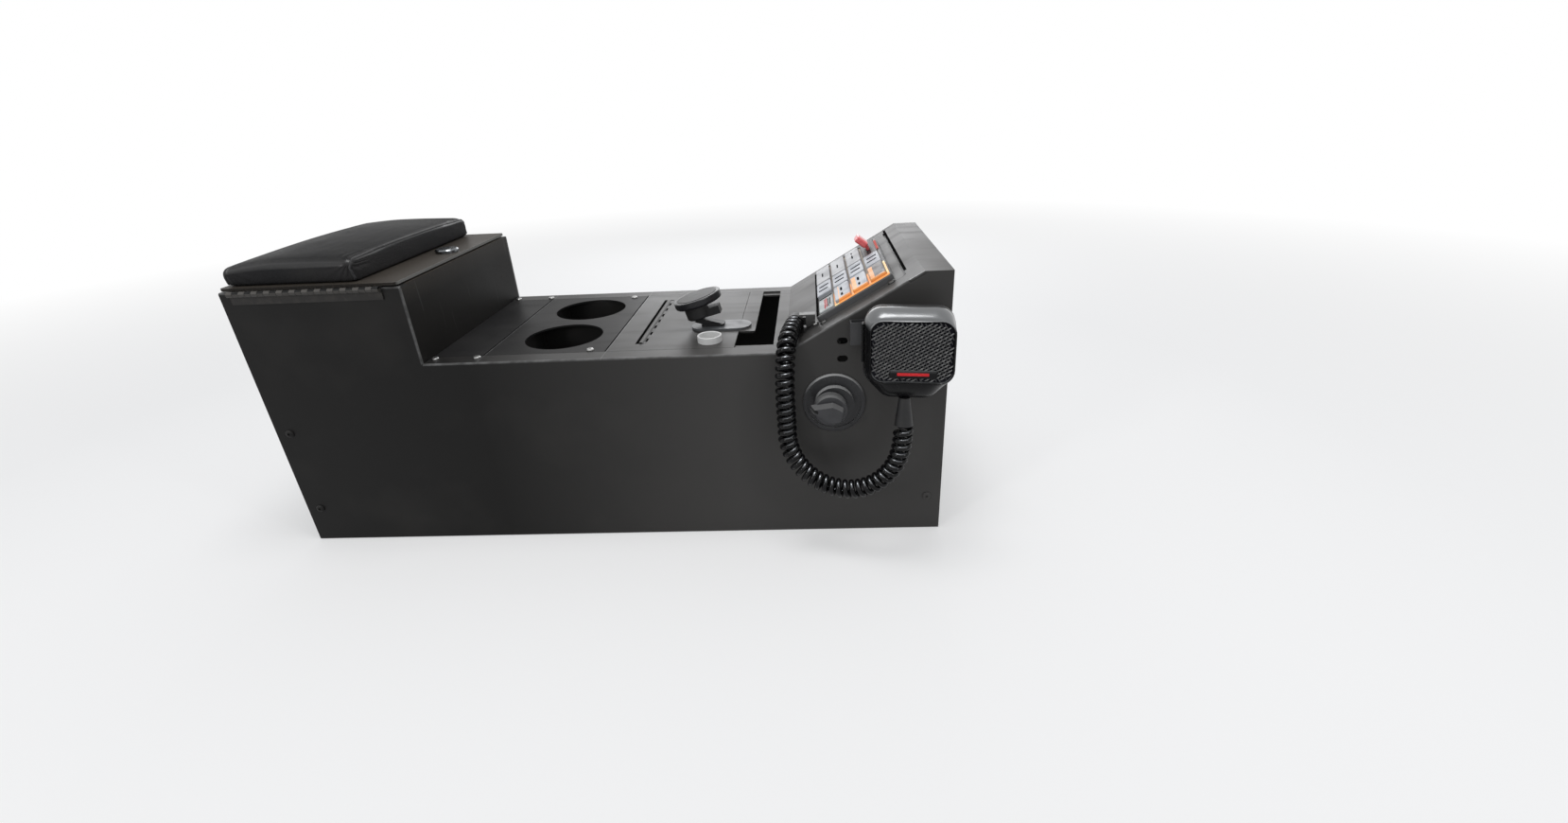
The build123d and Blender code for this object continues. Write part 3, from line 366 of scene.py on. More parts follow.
def pad_vinyl():
    """Black grained vinyl, shiny over its bent edges and painted darker on top as shade, with creases that
    run to its near corners.
    """
    f = Finish("pad_vinyl", (0.014, 0.014, 0.015), 0.4, Specular_IOR_Level=0.02, Coat_Roughness=0.3)
    pores = f.cells(520, feature="DISTANCE_TO_EDGE")
    grain = f.ramp(pores, (0.0, 0), (0.16, 1))
    polish = f.patches(9, 3, 0.35, 0.7)
    folds = f.noise(1, 4, f.turned((0, 0, 0.15), (90, 18, 40)))
    creases = 0.0
    high = PAD_TOP - 0.0042
    for x, reach in ((PAD_REAR + 0.004, 0.05), (PAD_FRONT - 0.003, 0.032)):
        corner = {0: f.place, 1: (x, 0.002 - PAD_HALF, high)}
        away = f.node("ShaderNodeVectorMath", corner, output="Value", operation="DISTANCE")
        round_it = (f.z - high).maths("ARCTAN2", f.x - x)
        creases = creases + (round_it * 17 + f.noise(40, 2) * 7).wave() * (1 - away / reach).limited()
    up = f.facing("Z")
    bent = (1 - (up - 0.62).size() * 2.6).limited()
    vinyl = f.mix(polish, (0.02, 0.02, 0.021), (0.03, 0.029, 0.029))
    # Painted shade: the top is painted darker than the sides.
    f.set(Base_Color=f.mix(up.limited(), vinyl, (0.007, 0.007, 0.0075)))
    f.set(Roughness=0.42 + polish * 0.1 - grain * 0.06)
    f.set(Coat_Weight=0.01 + bent * (0.95 - polish * 0.2))
    f.bump(grain * 0.25 + folds * 0.9 + creases * 0.8, 0.0011, 0.6)
    return f.material


def bright_steel(name, tint, roughness):
    """Plated steel with fine drawn lines and dull spots."""
    f = Finish(name, (tint, tint, tint), roughness, Metallic=1.0)
    lines = f.noise(1, 2, f.turned((0, 0, 0), (90, 2600, 2600)))
    dull = f.patches(120, 3, 0.5, 0.72)
    f.set(Base_Color=f.mix(dull * 0.5, (tint, tint, tint * 0.99), (tint * 0.45,) * 3))
    f.set(Roughness=roughness + lines * 0.12 + dull * 0.15)
    f.bump(lines, 0.00003, 0.4)
    return f.material


def worn(name, colour, crown, share, spots, roughness, rise, relief=None, **fixed):
    """A colour with worn patches of another, rougher there and, with a depth given, raised."""
    f = Finish(name, colour, roughness, **fixed)
    patches = f.patches(*spots)
    f.set(Base_Color=f.mix(patches * share, colour, crown), Roughness=roughness + patches * rise)
    if relief:
        f.bump(patches, relief, 0.4)
    return f.material


def mat_rubber():
    """Ribbed black rubber with crumbs of dust in the grooves."""
    f = Finish("mat_rubber", (0.02, 0.02, 0.02), 0.75)
    ribs = (f.y * (2 * pi / 0.005)).wave() * 0.5 + 0.5
    dust = f.patches(220, 3, 0.5, 0.7) * (1 - ribs)
    f.set(Base_Color=f.mix(dust * 0.6, (0.02, 0.02, 0.02), (0.11, 0.1, 0.09)), Roughness=0.7 + dust * 0.2)
    f.bump(ribs, 0.0008, 0.8)
    return f.material


def socket_white():
    """Off-white moulded plastic, yellowed and grimy in patches, and near black inside below the deck."""
    f = Finish("socket_white", (0.72, 0.72, 0.71), 0.35)
    grime = f.patches(180, 4, 0.5, 0.8)
    deep = (f.z < DECK - 0.0015) * 0.95
    base = f.mix(grime * 0.2, (0.72, 0.72, 0.71), (0.45, 0.43, 0.39))
    f.set(Base_Color=f.mix(deep, base, (0.03, 0.03, 0.03)), Roughness=0.3 + grime * 0.2)
    f.bump(f.noise(600, 2), 0.00004, 0.4)
    return f.material


def keycap(name, colour, lit):
    """A keycap lit softly from below, greasy on top, with lamp light at the ends of the near keys."""
    f = Finish(name, colour, 0.34, Emission_Strength=lit, Specular_IOR_Level=0.12)
    grease = f.patches(70, 3, 0.42, 0.68)
    far = ((f.y - 0.004) / 0.004).limited() * 0.55
    warmer = tuple(c * share for c, share in zip(colour, (0.92, 0.86, 0.78)))
    tone = f.mix(far, f.mix(grease * 0.4, colour, scaled(colour, 0.82)), warmer)
    along = ((f.x - SLOPE_FOOT) / cos(PITCH) - KEY_FIRST) / KEY_STEP
    end = ((along.maths("FRACT") * KEY_STEP - KEY_LEN + 0.0035) / 0.0025).limited()
    foot = (1 - (f.y - COLUMNS["near"][0]) / 0.005).limited()
    lamplit = (end + foot).limited() * (f.y < LAMPLIT_Y) * (f.x > LAMPLIT_X)
    tone = f.mix(lamplit, tone, (0.85, 0.36, 0.11))
    f.set(Base_Color=tone, Emission_Color=tone, Roughness=0.28 + grease * 0.2)
    f.bump(f.noise(1200, 2), 0.00003, 0.4)
    return f.material


def lamp_glow():
    """The lit sheet under the keys: orange by the near column, dim and warm elsewhere."""
    f = Finish("lamp_glow", (0.2, 0.15, 0.1), 0.5, Emission_Strength=0.8)
    spots = f.patches(48, 2, 0.35, 0.65)
    near = (1 - (f.y - GLOW_Y) / 0.006).limited() * (f.x > GLOW_X)
    warm = f.mix(spots, (1.0, 0.3, 0.05), (1.0, 0.5, 0.18))
    f.set(Emission_Color=f.mix(near, (0.1, 0.085, 0.07), warm))
    f.bump(spots, 0.00002, 0.3)
    return f.material


def lever_red():
    """Red moulded plastic with a rubbed top."""
    f = Finish("lever_red", (0.78, 0.1, 0.11), 0.3, Coat_Weight=0.3)
    lightened = f.patches(160, 3, 0.45, 0.7)
    f.set(Base_Color=f.mix(lightened * 0.5, (0.78, 0.1, 0.11), (0.88, 0.26, 0.25)))
    f.set(Roughness=0.26 + lightened * 0.18)
    f.bump(f.noise(900, 2), 0.00004, 0.4)
    return f.material


def mount_grey(name, colour, roughness, painted_top_light=None):
    """Satin grey plastic with a fine grain, and with a painted highlight where it looks up if a tone for it
    is given.
    """
    f = Finish(name, colour, roughness, Specular_IOR_Level=0.25)
    clouds = f.patches(80, 3, 0.4, 0.7)
    base = f.mix(clouds * 0.5, colour, scaled(colour, 0.7))
    if painted_top_light:
        # Painted highlight: lighter where it looks up.
        base = f.mix(((f.facing("Z") - 0.25) * 2.5).limited(), base, (painted_top_light, painted_top_light, painted_top_light))
    f.set(Base_Color=base, Roughness=roughness + clouds * 0.12)
    f.bump(f.noise(1500, 2), 0.00005, 0.5)
    return f.material


def cord_jacket():
    """Black cord jacket with a painted highlight, lighter and metallic on the near side of the tops of its
    turns, and a little dust on it.
    """
    f = Finish("cord_jacket", (0.004, 0.004, 0.0045), 0.12, Specular_IOR_Level=0.18)
    dust = f.patches(240, 3, 0.5, 0.75)
    # Painted highlight on each turn, where it faces up and towards the near side.
    painted_highlight = ((f.facing("Z") * 0.85 - f.facing("Y") * 0.53 - 0.92) * 14).limited()
    black = f.mix(dust * 0.1, (0.004, 0.004, 0.0045), (0.08, 0.077, 0.07))
    f.set(Base_Color=f.mix(painted_highlight * 0.8, black, (0.26, 0.27, 0.285)), Metallic=painted_highlight * 0.7)
    f.set(Roughness=0.12 + dust * 0.1)
    f.bump(f.noise(1100, 2), 0.00002, 0.3)
    return f.material


def woven_wire(name, paint, crown):
    """Painted wire, worn lighter on the crowns."""
    return worn(name, paint, crown, 0.7, (300, 3, 0.4, 0.7), 0.3, 0.16, 0.00003, Metallic=0.6)


def ink(name, colour):
    """Printed ink, slightly worn."""
    faded = tuple(min(1, c * 1.5 + 0.05) for c in colour)
    return worn(name, colour, faded, 0.4, (600, 3, 0.5, 0.72), 0.4, 0.15, Specular_IOR_Level=0.0)


COAT = powder_coat("powder_coat", (0.007, 0.0067, 0.0065), 0.15, 0.4, 0.9)
GLOSS = glossy_black()
MOULDED = moulded_black()
VINYL = pad_vinyl()
JACKET = cord_jacket()
PIPING = mount_grey("seam_piping", (0.024, 0.024, 0.025), 0.42)
SCREW_STEEL = bright_steel("screw_steel", 0.4, 0.26)
TAB_STEEL = bright_steel("tab_steel", 0.09, 0.34)
# The weft is the same black wire as the warp, painted lighter: a painted highlight on the wires that run one
# way.
WIRE_PAINTED_LIT = woven_wire("light_wire", (0.11, 0.11, 0.11), (0.26, 0.26, 0.255))
DARK_WIRE = woven_wire("dark_wire", (0.045, 0.045, 0.046), (0.12, 0.12, 0.12))
BLACK_INK = ink("black_ink", (0.012, 0.012, 0.016))
GAP_BLACK = ink("gap_black", (0.004, 0.004, 0.004))
RED_INK = ink("red_ink", (0.55, 0.03, 0.035))
STRIP_RED = ink("strip_red", (0.6, 0.16, 0.14))
CREAM = keycap("cream_strip", (0.78, 0.6, 0.3), 0.45)

FINISHES = {
    COAT: ("side_panel_near", "side_panel_far", "plate_ledge_near", "plate_ledge_far", "front_panel",
           "cup_tray", "deck_plate", "slot_bracket", "filler_plate", "slope_panel", "top_panel"),
    powder_coat("cup_coat", (0.01, 0.01, 0.0105), 0.05, 0.42, 0.5): ("rear_trim_plate", "cup_plate"),
    box_coat(): ("rear_panel", "box_front_wall", "box_floor", "lid_plate"),
    # Fixed knuckles: their tops painted lighter, a painted highlight.
    hinge_steel("hinge_fixed", (0.045, 0.042, 0.039), (0.075, 0.07, 0.065), (0.02, 0.0185, 0.0175)): (
        "hinge_leaf_fixed",),
    # Moving knuckles: their tops painted near black, painted shade in the gaps between the fixed knuckles.
    hinge_steel("hinge_moving", (0.04, 0.037, 0.034), (0.002, 0.002, 0.002), (0.02, 0.019, 0.018)): (
        "hinge_leaf_moving", "hinge_pin"),
    worn("chrome", (0.18, 0.19, 0.2), (0.1, 0.1, 0.095), 0.35, (260, 3, 0.5, 0.7), 0.18, 0.2, 0.00002,
         Metallic=1.0): ("lid_lock",),
    mat_rubber(): ("cup_mats",),
    socket_white(): ("socket_ring", "socket_cup"),
    MOULDED: ("slide_track", "phone_arm", "phone_collar", "mic_back", "mic_stud", "mic_relief",
              "cord_anchor"),
    GLOSS: ("mic_front", "mic_button"),
    mount_grey("panel_grey", (0.1, 0.1, 0.103), 0.4): ("panel_housing", "panel_face"),
    mount_grey("mount_grey", (0.11, 0.115, 0.12), 0.34): ("phone_base",),
    mount_grey("head_grey", (0.014, 0.014, 0.016), 0.26): ("phone_head",),
    mount_grey("clip_steel", (0.06, 0.06, 0.062), 0.3): ("mic_clip",),
    # The flange and the pointer carry a painted highlight where they look up.
    mount_grey("flange_grey", (0.03, 0.03, 0.032), 0.26, 0.34): ("side_flange",),
    mount_grey("pointer_grey", (0.045, 0.045, 0.048), 0.3, 0.14): ("side_pointer",),
    TAB_STEEL: ("cord_tab",),
    keycap("white_key", (0.33, 0.345, 0.375), 0.08): ("white_keys",),
    keycap("label_white", (0.3, 0.32, 0.32), 0.08): ("label_plate",),
    keycap("dark_key", (0.09, 0.082, 0.08), 0.0): ("dark_key",),
    lamp_glow(): ("backlight",),
    lever_red(): ("slide_lever",),
}
for finish, names in FINISHES.items():
    for name in names:
        for slot in NODES[name].material_slots:
            slot.material = finish


def mesh_object(name, points, faces, material):
    """A piece from its points and faces."""
    mesh = bpy.data.meshes.new(name)
    mesh.from_pydata([tuple(p) for p in points], [], faces)
    mesh.materials.append(material)
    return linked(name, mesh)


def linked(name, data):
    """An object at the origin that shows a mesh, or holds a curve, a lamp or a camera."""
    made = bpy.data.objects.new(name, data)
    bpy.context.scene.collection.objects.link(made)
    return made


def circle(radius, count):
    """Points evenly round a circle."""
    return [(radius * cos(2 * pi * k / count), radius * sin(2 * pi * k / count)) for k in range(count)]


def rounded_outline(wide, tall, r, steps=6):
    """A rectangle's outline with round corners, counter-clockwise."""
    points = []
    for i, (sx, sy) in enumerate(((1, 1), (-1, 1), (-1, -1), (1, -1))):
        for k in range(steps + 1):
            a = pi / 2 * (i + k / steps)
            points.append((sx * (wide / 2 - r) + r * cos(a), sy * (tall / 2 - r) + r * sin(a)))
    return points


def lofted(name, rings, material, place=Matrix(), sharp=None):
    """A closed skin over rings of points, placed by a matrix and smooth except over a sharp angle."""
    count = len(rings[0])
    points = [place @ Vector(p) for ring in rings for p in ring]
    faces = []
    for a in range(0, len(points) - count, count):
        for k in range(count):
            n = (k + 1) % count
            faces.append((a + k, a + n, a + count + n, a + count + k))
    faces.append(tuple(range(count))[::-1])
    faces.append(tuple(range(len(points) - count, len(points))))
    made = mesh_object(name, points, faces, material)
    edit = bmesh.new()
    edit.from_mesh(made.data)
    bmesh.ops.remove_doubles(edit, verts=edit.verts, dist=1e-7)
    bmesh.ops.recalc_face_normals(edit, faces=edit.faces)
    edit.to_mesh(made.data)
    edit.free()
    if sharp:
        made.data.shade_smooth()
        made.data.set_sharp_from_angle(angle=radians(sharp))
    return made


def thin_plate(name, wide, tall, r, low, high, ease, material, place):
    """A thin rounded plate with an eased top edge, lying in a place's XY plane."""
    rings = []
    for inset, z in ((0, low), (0, high - ease), (ease * 0.35, high - ease * 0.3), (ease, high)):
        outline = rounded_outline(wide - 2 * inset, tall - 2 * inset, max(r - inset, ease * 0.2))
        rings.append([(x, y, z) for x, y in outline])
    return lofted(name, rings, material, place, 35)


def evaluated_mesh(source):
    """The mesh that an object shows after its modifiers."""
    graph = bpy.context.evaluated_depsgraph_get()
    return bpy.data.meshes.new_from_object(source.evaluated_get(graph), depsgraph=graph)


def plain_mesh(name, source):
    """The evaluated form of an object as a plain mesh piece, with the source removed."""
    mesh = evaluated_mesh(source)
    bpy.data.objects.remove(source)
    mesh.name = name
    return linked(name, mesh)


class Tree(Nodes):
    """A Geometry Nodes tree with named inputs for its sizes."""

    def __init__(self, name, inputs):
        super().__init__(bpy.data.node_groups.new(name, "GeometryNodeTree"))
        sockets = self.tree.interface
        sockets.new_socket("Geometry", in_out="INPUT", socket_type="NodeSocketGeometry")
        sockets.new_socket("Geometry", in_out="OUTPUT", socket_type="NodeSocketGeometry")
        for label, value in inputs.items():
            kind = "NodeSocketInt" if isinstance(value, int) else "NodeSocketFloat"
            sockets.new_socket(label, in_out="INPUT", socket_type=kind)
        self.inputs = inputs
        self.start = self.made_node("NodeGroupInput").outputs

    def made(self, name, carrier, geometry, material):
        """The tree's real, finished geometry on a carrier mesh, as a plain mesh piece."""
        real = self.node("GeometryNodeRealizeInstances", {0: geometry})
        coat = self.node("GeometryNodeSetMaterial", {0: real, "Material": material})
        self.made_node("NodeGroupOutput", {0: coat})
        source = linked(f"{name}_source", carrier)
        modifier = source.modifiers.new("tree", "NODES")
        modifier.node_group = self.tree
        for item in self.tree.interface.items_tree:
            if item.in_out == "INPUT" and item.name in self.inputs:
                modifier[item.identifier] = self.inputs[item.name]
        return plain_mesh(name, source)


def repeated(name, shape, places, material, spin=0.0):
    """A shape at places, each a point and a turn in Euler angles, with a random spin about its own axis."""
    mesh = bpy.data.meshes.new("places")
    mesh.from_pydata([tuple(p) for p, _ in places], [], [])
    turns = mesh.attributes.new("turn", "FLOAT_VECTOR", "POINT")
    for i, (_, turn) in enumerate(places):
        turns.data[i].vector = turn
    tree = Tree(f"{name}_tree", {"Seed": 3, "Spin": spin})
    points = tree.node("GeometryNodeMeshToPoints", {0: tree.start[0]})
    turn = tree.node("GeometryNodeInputNamedAttribute", {"Name": "turn"}, data_type="FLOAT_VECTOR")
    upright = tree.node("FunctionNodeEulerToRotation", {0: turn})
    span = {2: 0.0, 3: tree.start["Spin"], "Seed": tree.start["Seed"]}
    chance = tree.node("FunctionNodeRandomValue", span, output=1, data_type="FLOAT")
    twist = tree.node("FunctionNodeEulerToRotation", {0: tree.node("ShaderNodeCombineXYZ", {2: chance})})
    turned = tree.node("FunctionNodeRotateRotation", {0: upright, 1: twist}, rotation_space="LOCAL")
    each = tree.node("GeometryNodeObjectInfo", {"Object": shape}, output="Geometry")
    values = {"Points": points, "Instance": each, "Rotation": turned}
    made = tree.made(name, mesh, tree.node("GeometryNodeInstanceOnPoints", values), material)
    bpy.data.objects.remove(shape)
    return made


def pan_head(radius, height, drive, material):
    """A pan-head screw's head standing on its origin, with a cross or hex recess."""
    steps = 24
    pit = []
    for k in range(steps):
        a = 2 * pi * k / steps
        r = radius * (0.3 if drive == "hex" else 0.16 + 0.26 * abs(cos(2 * a)) ** 3)
        pit.append((r * cos(a), r * sin(a)))
    rim = circle(radius, steps)
    profile = [(rim, 1, 0), (rim, 1, 0.38), (rim, 0.82, 0.82), (rim, 0.5, 1), (pit, 1, 1), (pit, 0.85, 0.45)]
    rings = [[(x * share, y * share, height * high) for x, y in outline] for outline, share, high in profile]
    return lofted("pan_head", rings, material, sharp=35)


def screws(name, places, radius, height, drive="cross", material=SCREW_STEEL):
    """Screw heads on the console at points, each facing a direction and turned its own way."""
    turns = [(p, Vector(out).to_track_quat("Z", "Y").to_euler()) for p, out in places]
    made = repeated(name, pan_head(radius, height, drive, material), turns, material, spin=6.28)
    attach(made, "console")


def slope_place(s, y, n=0.0):
    """A place that lies along the slope, at a length up it, across, and out from it."""
    return SLOPE @ Matrix.Translation((s, y, n))


SLOPE_OUT = SLOPE.to_3x3() @ Vector((0, 0, 1))


def camera():
    """The photograph's camera."""
    ahead = Vector((-sin(LOOK_LEFT) * cos(LOOK_DOWN), cos(LOOK_LEFT) * cos(LOOK_DOWN), -sin(LOOK_DOWN)))
    right = Vector((cos(LOOK_LEFT), sin(LOOK_LEFT), 0))
    down = ahead.cross(right)
    across = cos(LEAN) * right + sin(LEAN) * down
    below = -sin(LEAN) * right + cos(LEAN) * down
    turn = Matrix((across, -below, -ahead)).transposed().to_4x4()
    lens = bpy.data.cameras.new("camera")
    lens.lens = FOCAL
    lens.sensor_width = SENSOR
    lens.clip_start = 0.01
    made = linked("camera", lens)
    made.matrix_world = Matrix.Translation(EYE) @ turn
    bpy.context.scene.camera = made


def route_points():
    """The cord's smooth line, as the points of its spline."""
    curve = bpy.data.curves.new("cord_route", "CURVE")
    curve.dimensions = "3D"
    curve.resolution_u = 24
    spline = curve.splines.new("NURBS")
    spline.points.add(len(CORD) - 1)
    for point, place in zip(spline.points, CORD):
        point.co = (*place, 1)
    spline.order_u = 3
    spline.use_endpoint_u = True
    route = linked("cord_route", curve)
    points = [v.co.copy() for v in evaluated_mesh(route).vertices]
    bpy.data.objects.remove(route)
    return points


def even_points(points, step):
    """Points at an even step along a line."""
    out = [points[0]]
    left = step
    for a, b in zip(points, points[1:]):
        run = (b - a).length
        while run > 1e-9 and left <= run:
            a = a.lerp(b, left / run)
            out.append(a)
            run = (b - a).length
            left = step
        left -= run
    return out


def carried_frames(points):
    """For each point of a line, its tangent and two directions across, turned as little as possible."""
    tangents = [(b - a).normalized() for a, b in zip(points, points[1:])]
    tangents.append(tangents[-1])
    across = tangents[0].orthogonal().normalized()
    frames = []
    for t in tangents:
        across = (across - across.dot(t) * t).normalized()
        frames.append((t, across, t.cross(across)))
    return frames


def helix():
    """The wire's line: an even coil round the cord's route."""
    route = even_points(route_points(), COIL_STEP)
    last = len(route) - 1
    line = []
    for i, (centre, (_, a, b)) in enumerate(zip(route, carried_frames(route))):
        angle = 2 * pi * i * COIL_STEP / TURN
        ends = min(1.0, i * COIL_STEP / COIL_OPENS, (last - i) * COIL_STEP / COIL_CLOSES)
        reach = COIL_R * sin(ends * pi / 2)
        line.append(centre + reach * (cos(angle) * a + sin(angle) * b))
    return even_points(line, WIRE_STEP)


def wire_tube(name, line, radius, material, sides=10):
    """A round wire along a line."""
    rings = [[centre + x * a + y * b for x, y in circle(radius, sides)]
             for centre, (_, a, b) in zip(line, carried_frames(line))]
    return lofted(name, rings, material, sharp=60)


def curly_cord():
    """The microphone's coiled cord."""
    line = helix()
    made = wire_tube("curly_cord_wire", line, WIRE_R, JACKET)
    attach(made, "console")
    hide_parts("curly_cord")


def cushion_profile(x, inset=0.0, lift=0.0):
    """The pad's section across the console at one place along it, from its near foot round over its top."""
    wide = PAD_HALF - inset
    high = PAD_TOP - inset * 0.6 + lift
    side = [(x, 0.002 - wide, PAD_FOOT)]
    for k in range(11):
        a = pi - pi / 2 * k / 10
        side.append((x, PAD_ROUND * (1 + cos(a)) - wide, high - PAD_ROUND * (1 - sin(a))))
    steps = 14
    top = [(x, (wide - PAD_ROUND) * (2 * k / steps - 1), high + 0.0022 * sin(pi * k / steps))
           for k in range(1, steps)]
    return side + top + [(x, -y, z) for _, y, z in side[::-1]]


def cushion():
    """The armrest pad: a vinyl wrap stretched over foam, with a sewn panel at each end."""
    stations = []
    count = 30
    for i in range(count + 1):
        share = i / count
        x = PAD_REAR + (PAD_FRONT - PAD_REAR) * share
        end = max(0.0, 1 - min(share, 1 - share) * count / 1.4)
        stations.append(cushion_profile(x, 0.0012 * end ** 2, 0.001 * sin(pi * share)))
    pad = lofted("armrest_cushion", stations, VINYL)
    edit = bmesh.new()
    edit.from_mesh(pad.data)
    bmesh.ops.triangulate(edit, faces=[f for f in edit.faces if len(f.verts) > 4])
    edit.to_mesh(pad.data)
    edit.free()
    seams = [even_points([Vector(p) for p in cushion_profile(x)], SEAM_STEP)
             for x in (PAD_REAR + SEAM_IN, PAD_FRONT - SEAM_IN)]
    swollen(pad, seams)
    pad.data.shade_smooth()
    surface = BVHTree.FromPolygons(
        [v.co for v in pad.data.vertices], [p.vertices for p in pad.data.polygons])
    threads = []
    for line in seams:
        laid = [surface.find_nearest(sunk(p))[0] for p in line]
        threads.append(wire_tube("thread", even_points(laid, THREAD_STEP), THREAD_R, PIPING, 8))
    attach(pad, "lid")
    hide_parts("lid_cushion")
    joined("cushion_seams", threads, "lid")


def sunk(point):
    """A point of the pad after years of arms: lower towards the rear and the near side."""
    back = (PAD_REAR - point.x) / SAG_RUN + 1
    near = 0.5 - 0.5 * point.y / PAD_HALF
    share = (point.z - PAD_FOOT) / (PAD_TOP - PAD_FOOT)
    return point - Vector((0, 0, PAD_SAG * max(0.0, back) ** 1.4 * (0.35 + 0.65 * near) * share))


def swollen(pad, seams):
    """The vinyl blown out by some frames of cloth, held at its foot and seams, then drawn in at the seams."""
    remesh = pad.modifiers.new("remesh", "REMESH")
    remesh.mode = "VOXEL"
    remesh.voxel_size = 0.003
    mesh = evaluated_mesh(pad)
    pad.modifiers.clear()
    pad.data = mesh
    mesh.materials.clear()
    mesh.materials.append(VINYL)
    rest = [v.co.copy() for v in mesh.vertices]
    sewn = KDTree(sum(len(line) for line in seams))
    for i, point in enumerate(p for line in seams for p in line):
        sewn.insert(point, i)
    sewn.balance()
    away = [sewn.find(p)[2] for p in rest]
    held = pad.vertex_groups.new(name="held")
    foot = PAD_FOOT + 0.0035
    held.add([i for i, p in enumerate(rest) if p.z < foot or away[i] < SEAM_HOLD], 1.0, "REPLACE")
    cloth = pad.modifiers.new("cloth", "CLOTH")
    stuff = {"quality": 5, "mass": 0.4, "tension_stiffness": 8, "compression_stiffness": 4,
             "bending_stiffness": 0.6, "use_pressure": True, "uniform_pressure_force": 4,
             "vertex_group_mass": "held"}
    for setting, value in stuff.items():
        setattr(cloth.settings, setting, value)
    cloth.settings.effector_weights.gravity = 0
    cloth.collision_settings.use_collision = False
    for step in range(1, CLOTH_FRAMES + 1):
        bpy.context.scene.frame_set(step)
    blown = [v.co.copy() for v in evaluated_mesh(pad).vertices]
    pad.modifiers.clear()
    pad.vertex_groups.clear()
    bpy.context.scene.frame_set(1)
    for vertex, start, end in zip(mesh.vertices, rest, blown):
        move = end - start
        move *= min(1.0, PAD_SWELL / max(move.length, 1e-6))
        vertex.co = start + move
    mesh.update()
    normals = [v.normal.copy() for v in mesh.vertices]
    for vertex, normal, gap in zip(mesh.vertices, normals, away):
        vertex.co -= normal * SEAM_DEPTH * max(0.0, 1 - gap / SEAM_REACH)
        vertex.co = sunk(vertex.co)
        vertex.co.z = max(vertex.co.z, PAD_FOOT)
    fine = pad.modifiers.new("fine", "SUBSURF")
    fine.levels = fine.render_levels = 1
    pad.data = evaluated_mesh(pad)
    pad.modifiers.clear()


def key_marks():
    """The printed marks on the keys: two bars on each middle key, small marks on the others."""
    mids = {name: y + wide / 2 for name, (y, wide) in COLUMNS.items()}
    marks = []
    for row in range(4):
        s = KEY_FIRST + row * KEY_STEP + KEY_LEN / 2
        for side in (-1, 1):
            marks.append((s + 0.0004 * side, mids["middle"] + 0.0068 * side, 0.0108, 0.0034))
        if row < 3:
            marks.append((s, mids["far"] - 0.003, 0.0016, 0.014))
        if row == 2:
            marks.append((s, mids["far"] + 0.014, 0.0014, 0.007))
        if row in (1, 2):
            marks.append((s, mids["near"] - 0.012, 0.0022, 0.008))
            marks.append((s, mids["near"] + 0.006, 0.0022, 0.011))
    pieces = [thin_plate("mark", along, across, 0.0005, 0, MARK_THICK, INK_EASE, BLACK_INK,
                         slope_place(s, y, KEY_TOP)) for s, y, along, across in marks]
    joined("key_marks", pieces)


def joined(name, pieces, body="console"):
    """Several made pieces as one, on a body."""
    mesh = bpy.data.meshes.new(name)
    edit = bmesh.new()
    finishes = list(dict.fromkeys(m for piece in pieces for m in piece.data.materials))
    for material in finishes:
        mesh.materials.append(material)
    for piece in pieces:
        shift = [finishes.index(m) for m in piece.data.materials]
        first = len(edit.faces)
        edit.from_mesh(piece.data)
        edit.faces.ensure_lookup_table()
        for face in edit.faces[first:]:
            face.material_index = shift[face.material_index]
        bpy.data.objects.remove(piece)
    edit.to_mesh(mesh)
    edit.free()
    made = linked(name, mesh)
    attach(made, body)
    return made


def panel_trim():
    """The key panel's label print, its lit strips, its red strip and its corner screws."""
    s0 = KEY_FIRST + KEY_LEN / 2
    y0 = COLUMNS["near"][0] + COLUMNS["near"][1] / 2
    prints = [("label_bar", s0, y0 + 0.0185, 0.0145, 0.0034, BLACK_INK)]
    for i in range(4):
        prints.append(("label_line", s0 - 0.0012 + i * 0.0019, y0 - 0.003 + 0.002 * (i % 2), 0.001,
                       0.031 - 0.003 * i, RED_INK if i < 2 else BLACK_INK))
    label = [thin_plate(name, along, across, 0.0003, 0, INK_THICK, INK_EASE, colour,
                        slope_place(s, y, LABEL_TOP)) for name, s, y, along, across, colour in prints]
    joined("label_print", label)
    top = PANEL_FOOT + PANEL_LEN
    strip = thin_plate("red_strip", 0.0032, 0.04, 0.0005, 0, 0.0012, STRIP_EASE, STRIP_RED,
                       slope_place(top - 0.0026, 0.042, PANEL_RAISE))
    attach(strip, "console")
    strips = ((0.002, 0.05, top - 0.0024, -0.0645), (0.058, 0.0016, top - 0.031, -0.0898))
    lit = [thin_plate("lit", along, across, 0.0005, 0, 0.0011, STRIP_EASE, CREAM,
                      slope_place(s, y, PANEL_RAISE)) for along, across, s, y in strips]
    joined("lit_strips", lit)
    near = PANEL_NEAR - 0.0042
    far = PANEL_NEAR + PANEL_WIDE + 0.0042
    corners = [(slope_place(s, y).to_translation(), SLOPE_OUT)
               for y in (near, far) for s in (PANEL_FOOT + 0.0045, top - 0.004)]
    screws("panel_screws", corners, 0.0036, 0.0019, "hex", TAB_STEEL)


def plate_gaps():
    """The dark joints between the top plates, across the slope above the panel, and below the keys."""
    gaps = [(0.0012, 0.197, INK_THICK, Matrix.Translation((x, 0, DECK))) for x in (CUP_SEAM, TRIM_SEAM)]
    gaps.append((0.0028, 0.196, INK_THICK, slope_place(*SLOPE_JOINT)))
    gaps.append((0.0024, 0.162, 2 * INK_THICK, slope_place(KEY_FIRST - 0.0021, -0.0075, PANEL_RAISE)))
    joined("plate_gaps", [thin_plate("gap", along, across, 0.0001, 0, thick, INK_EASE, GAP_BLACK, place)
                          for along, across, thick, place in gaps])


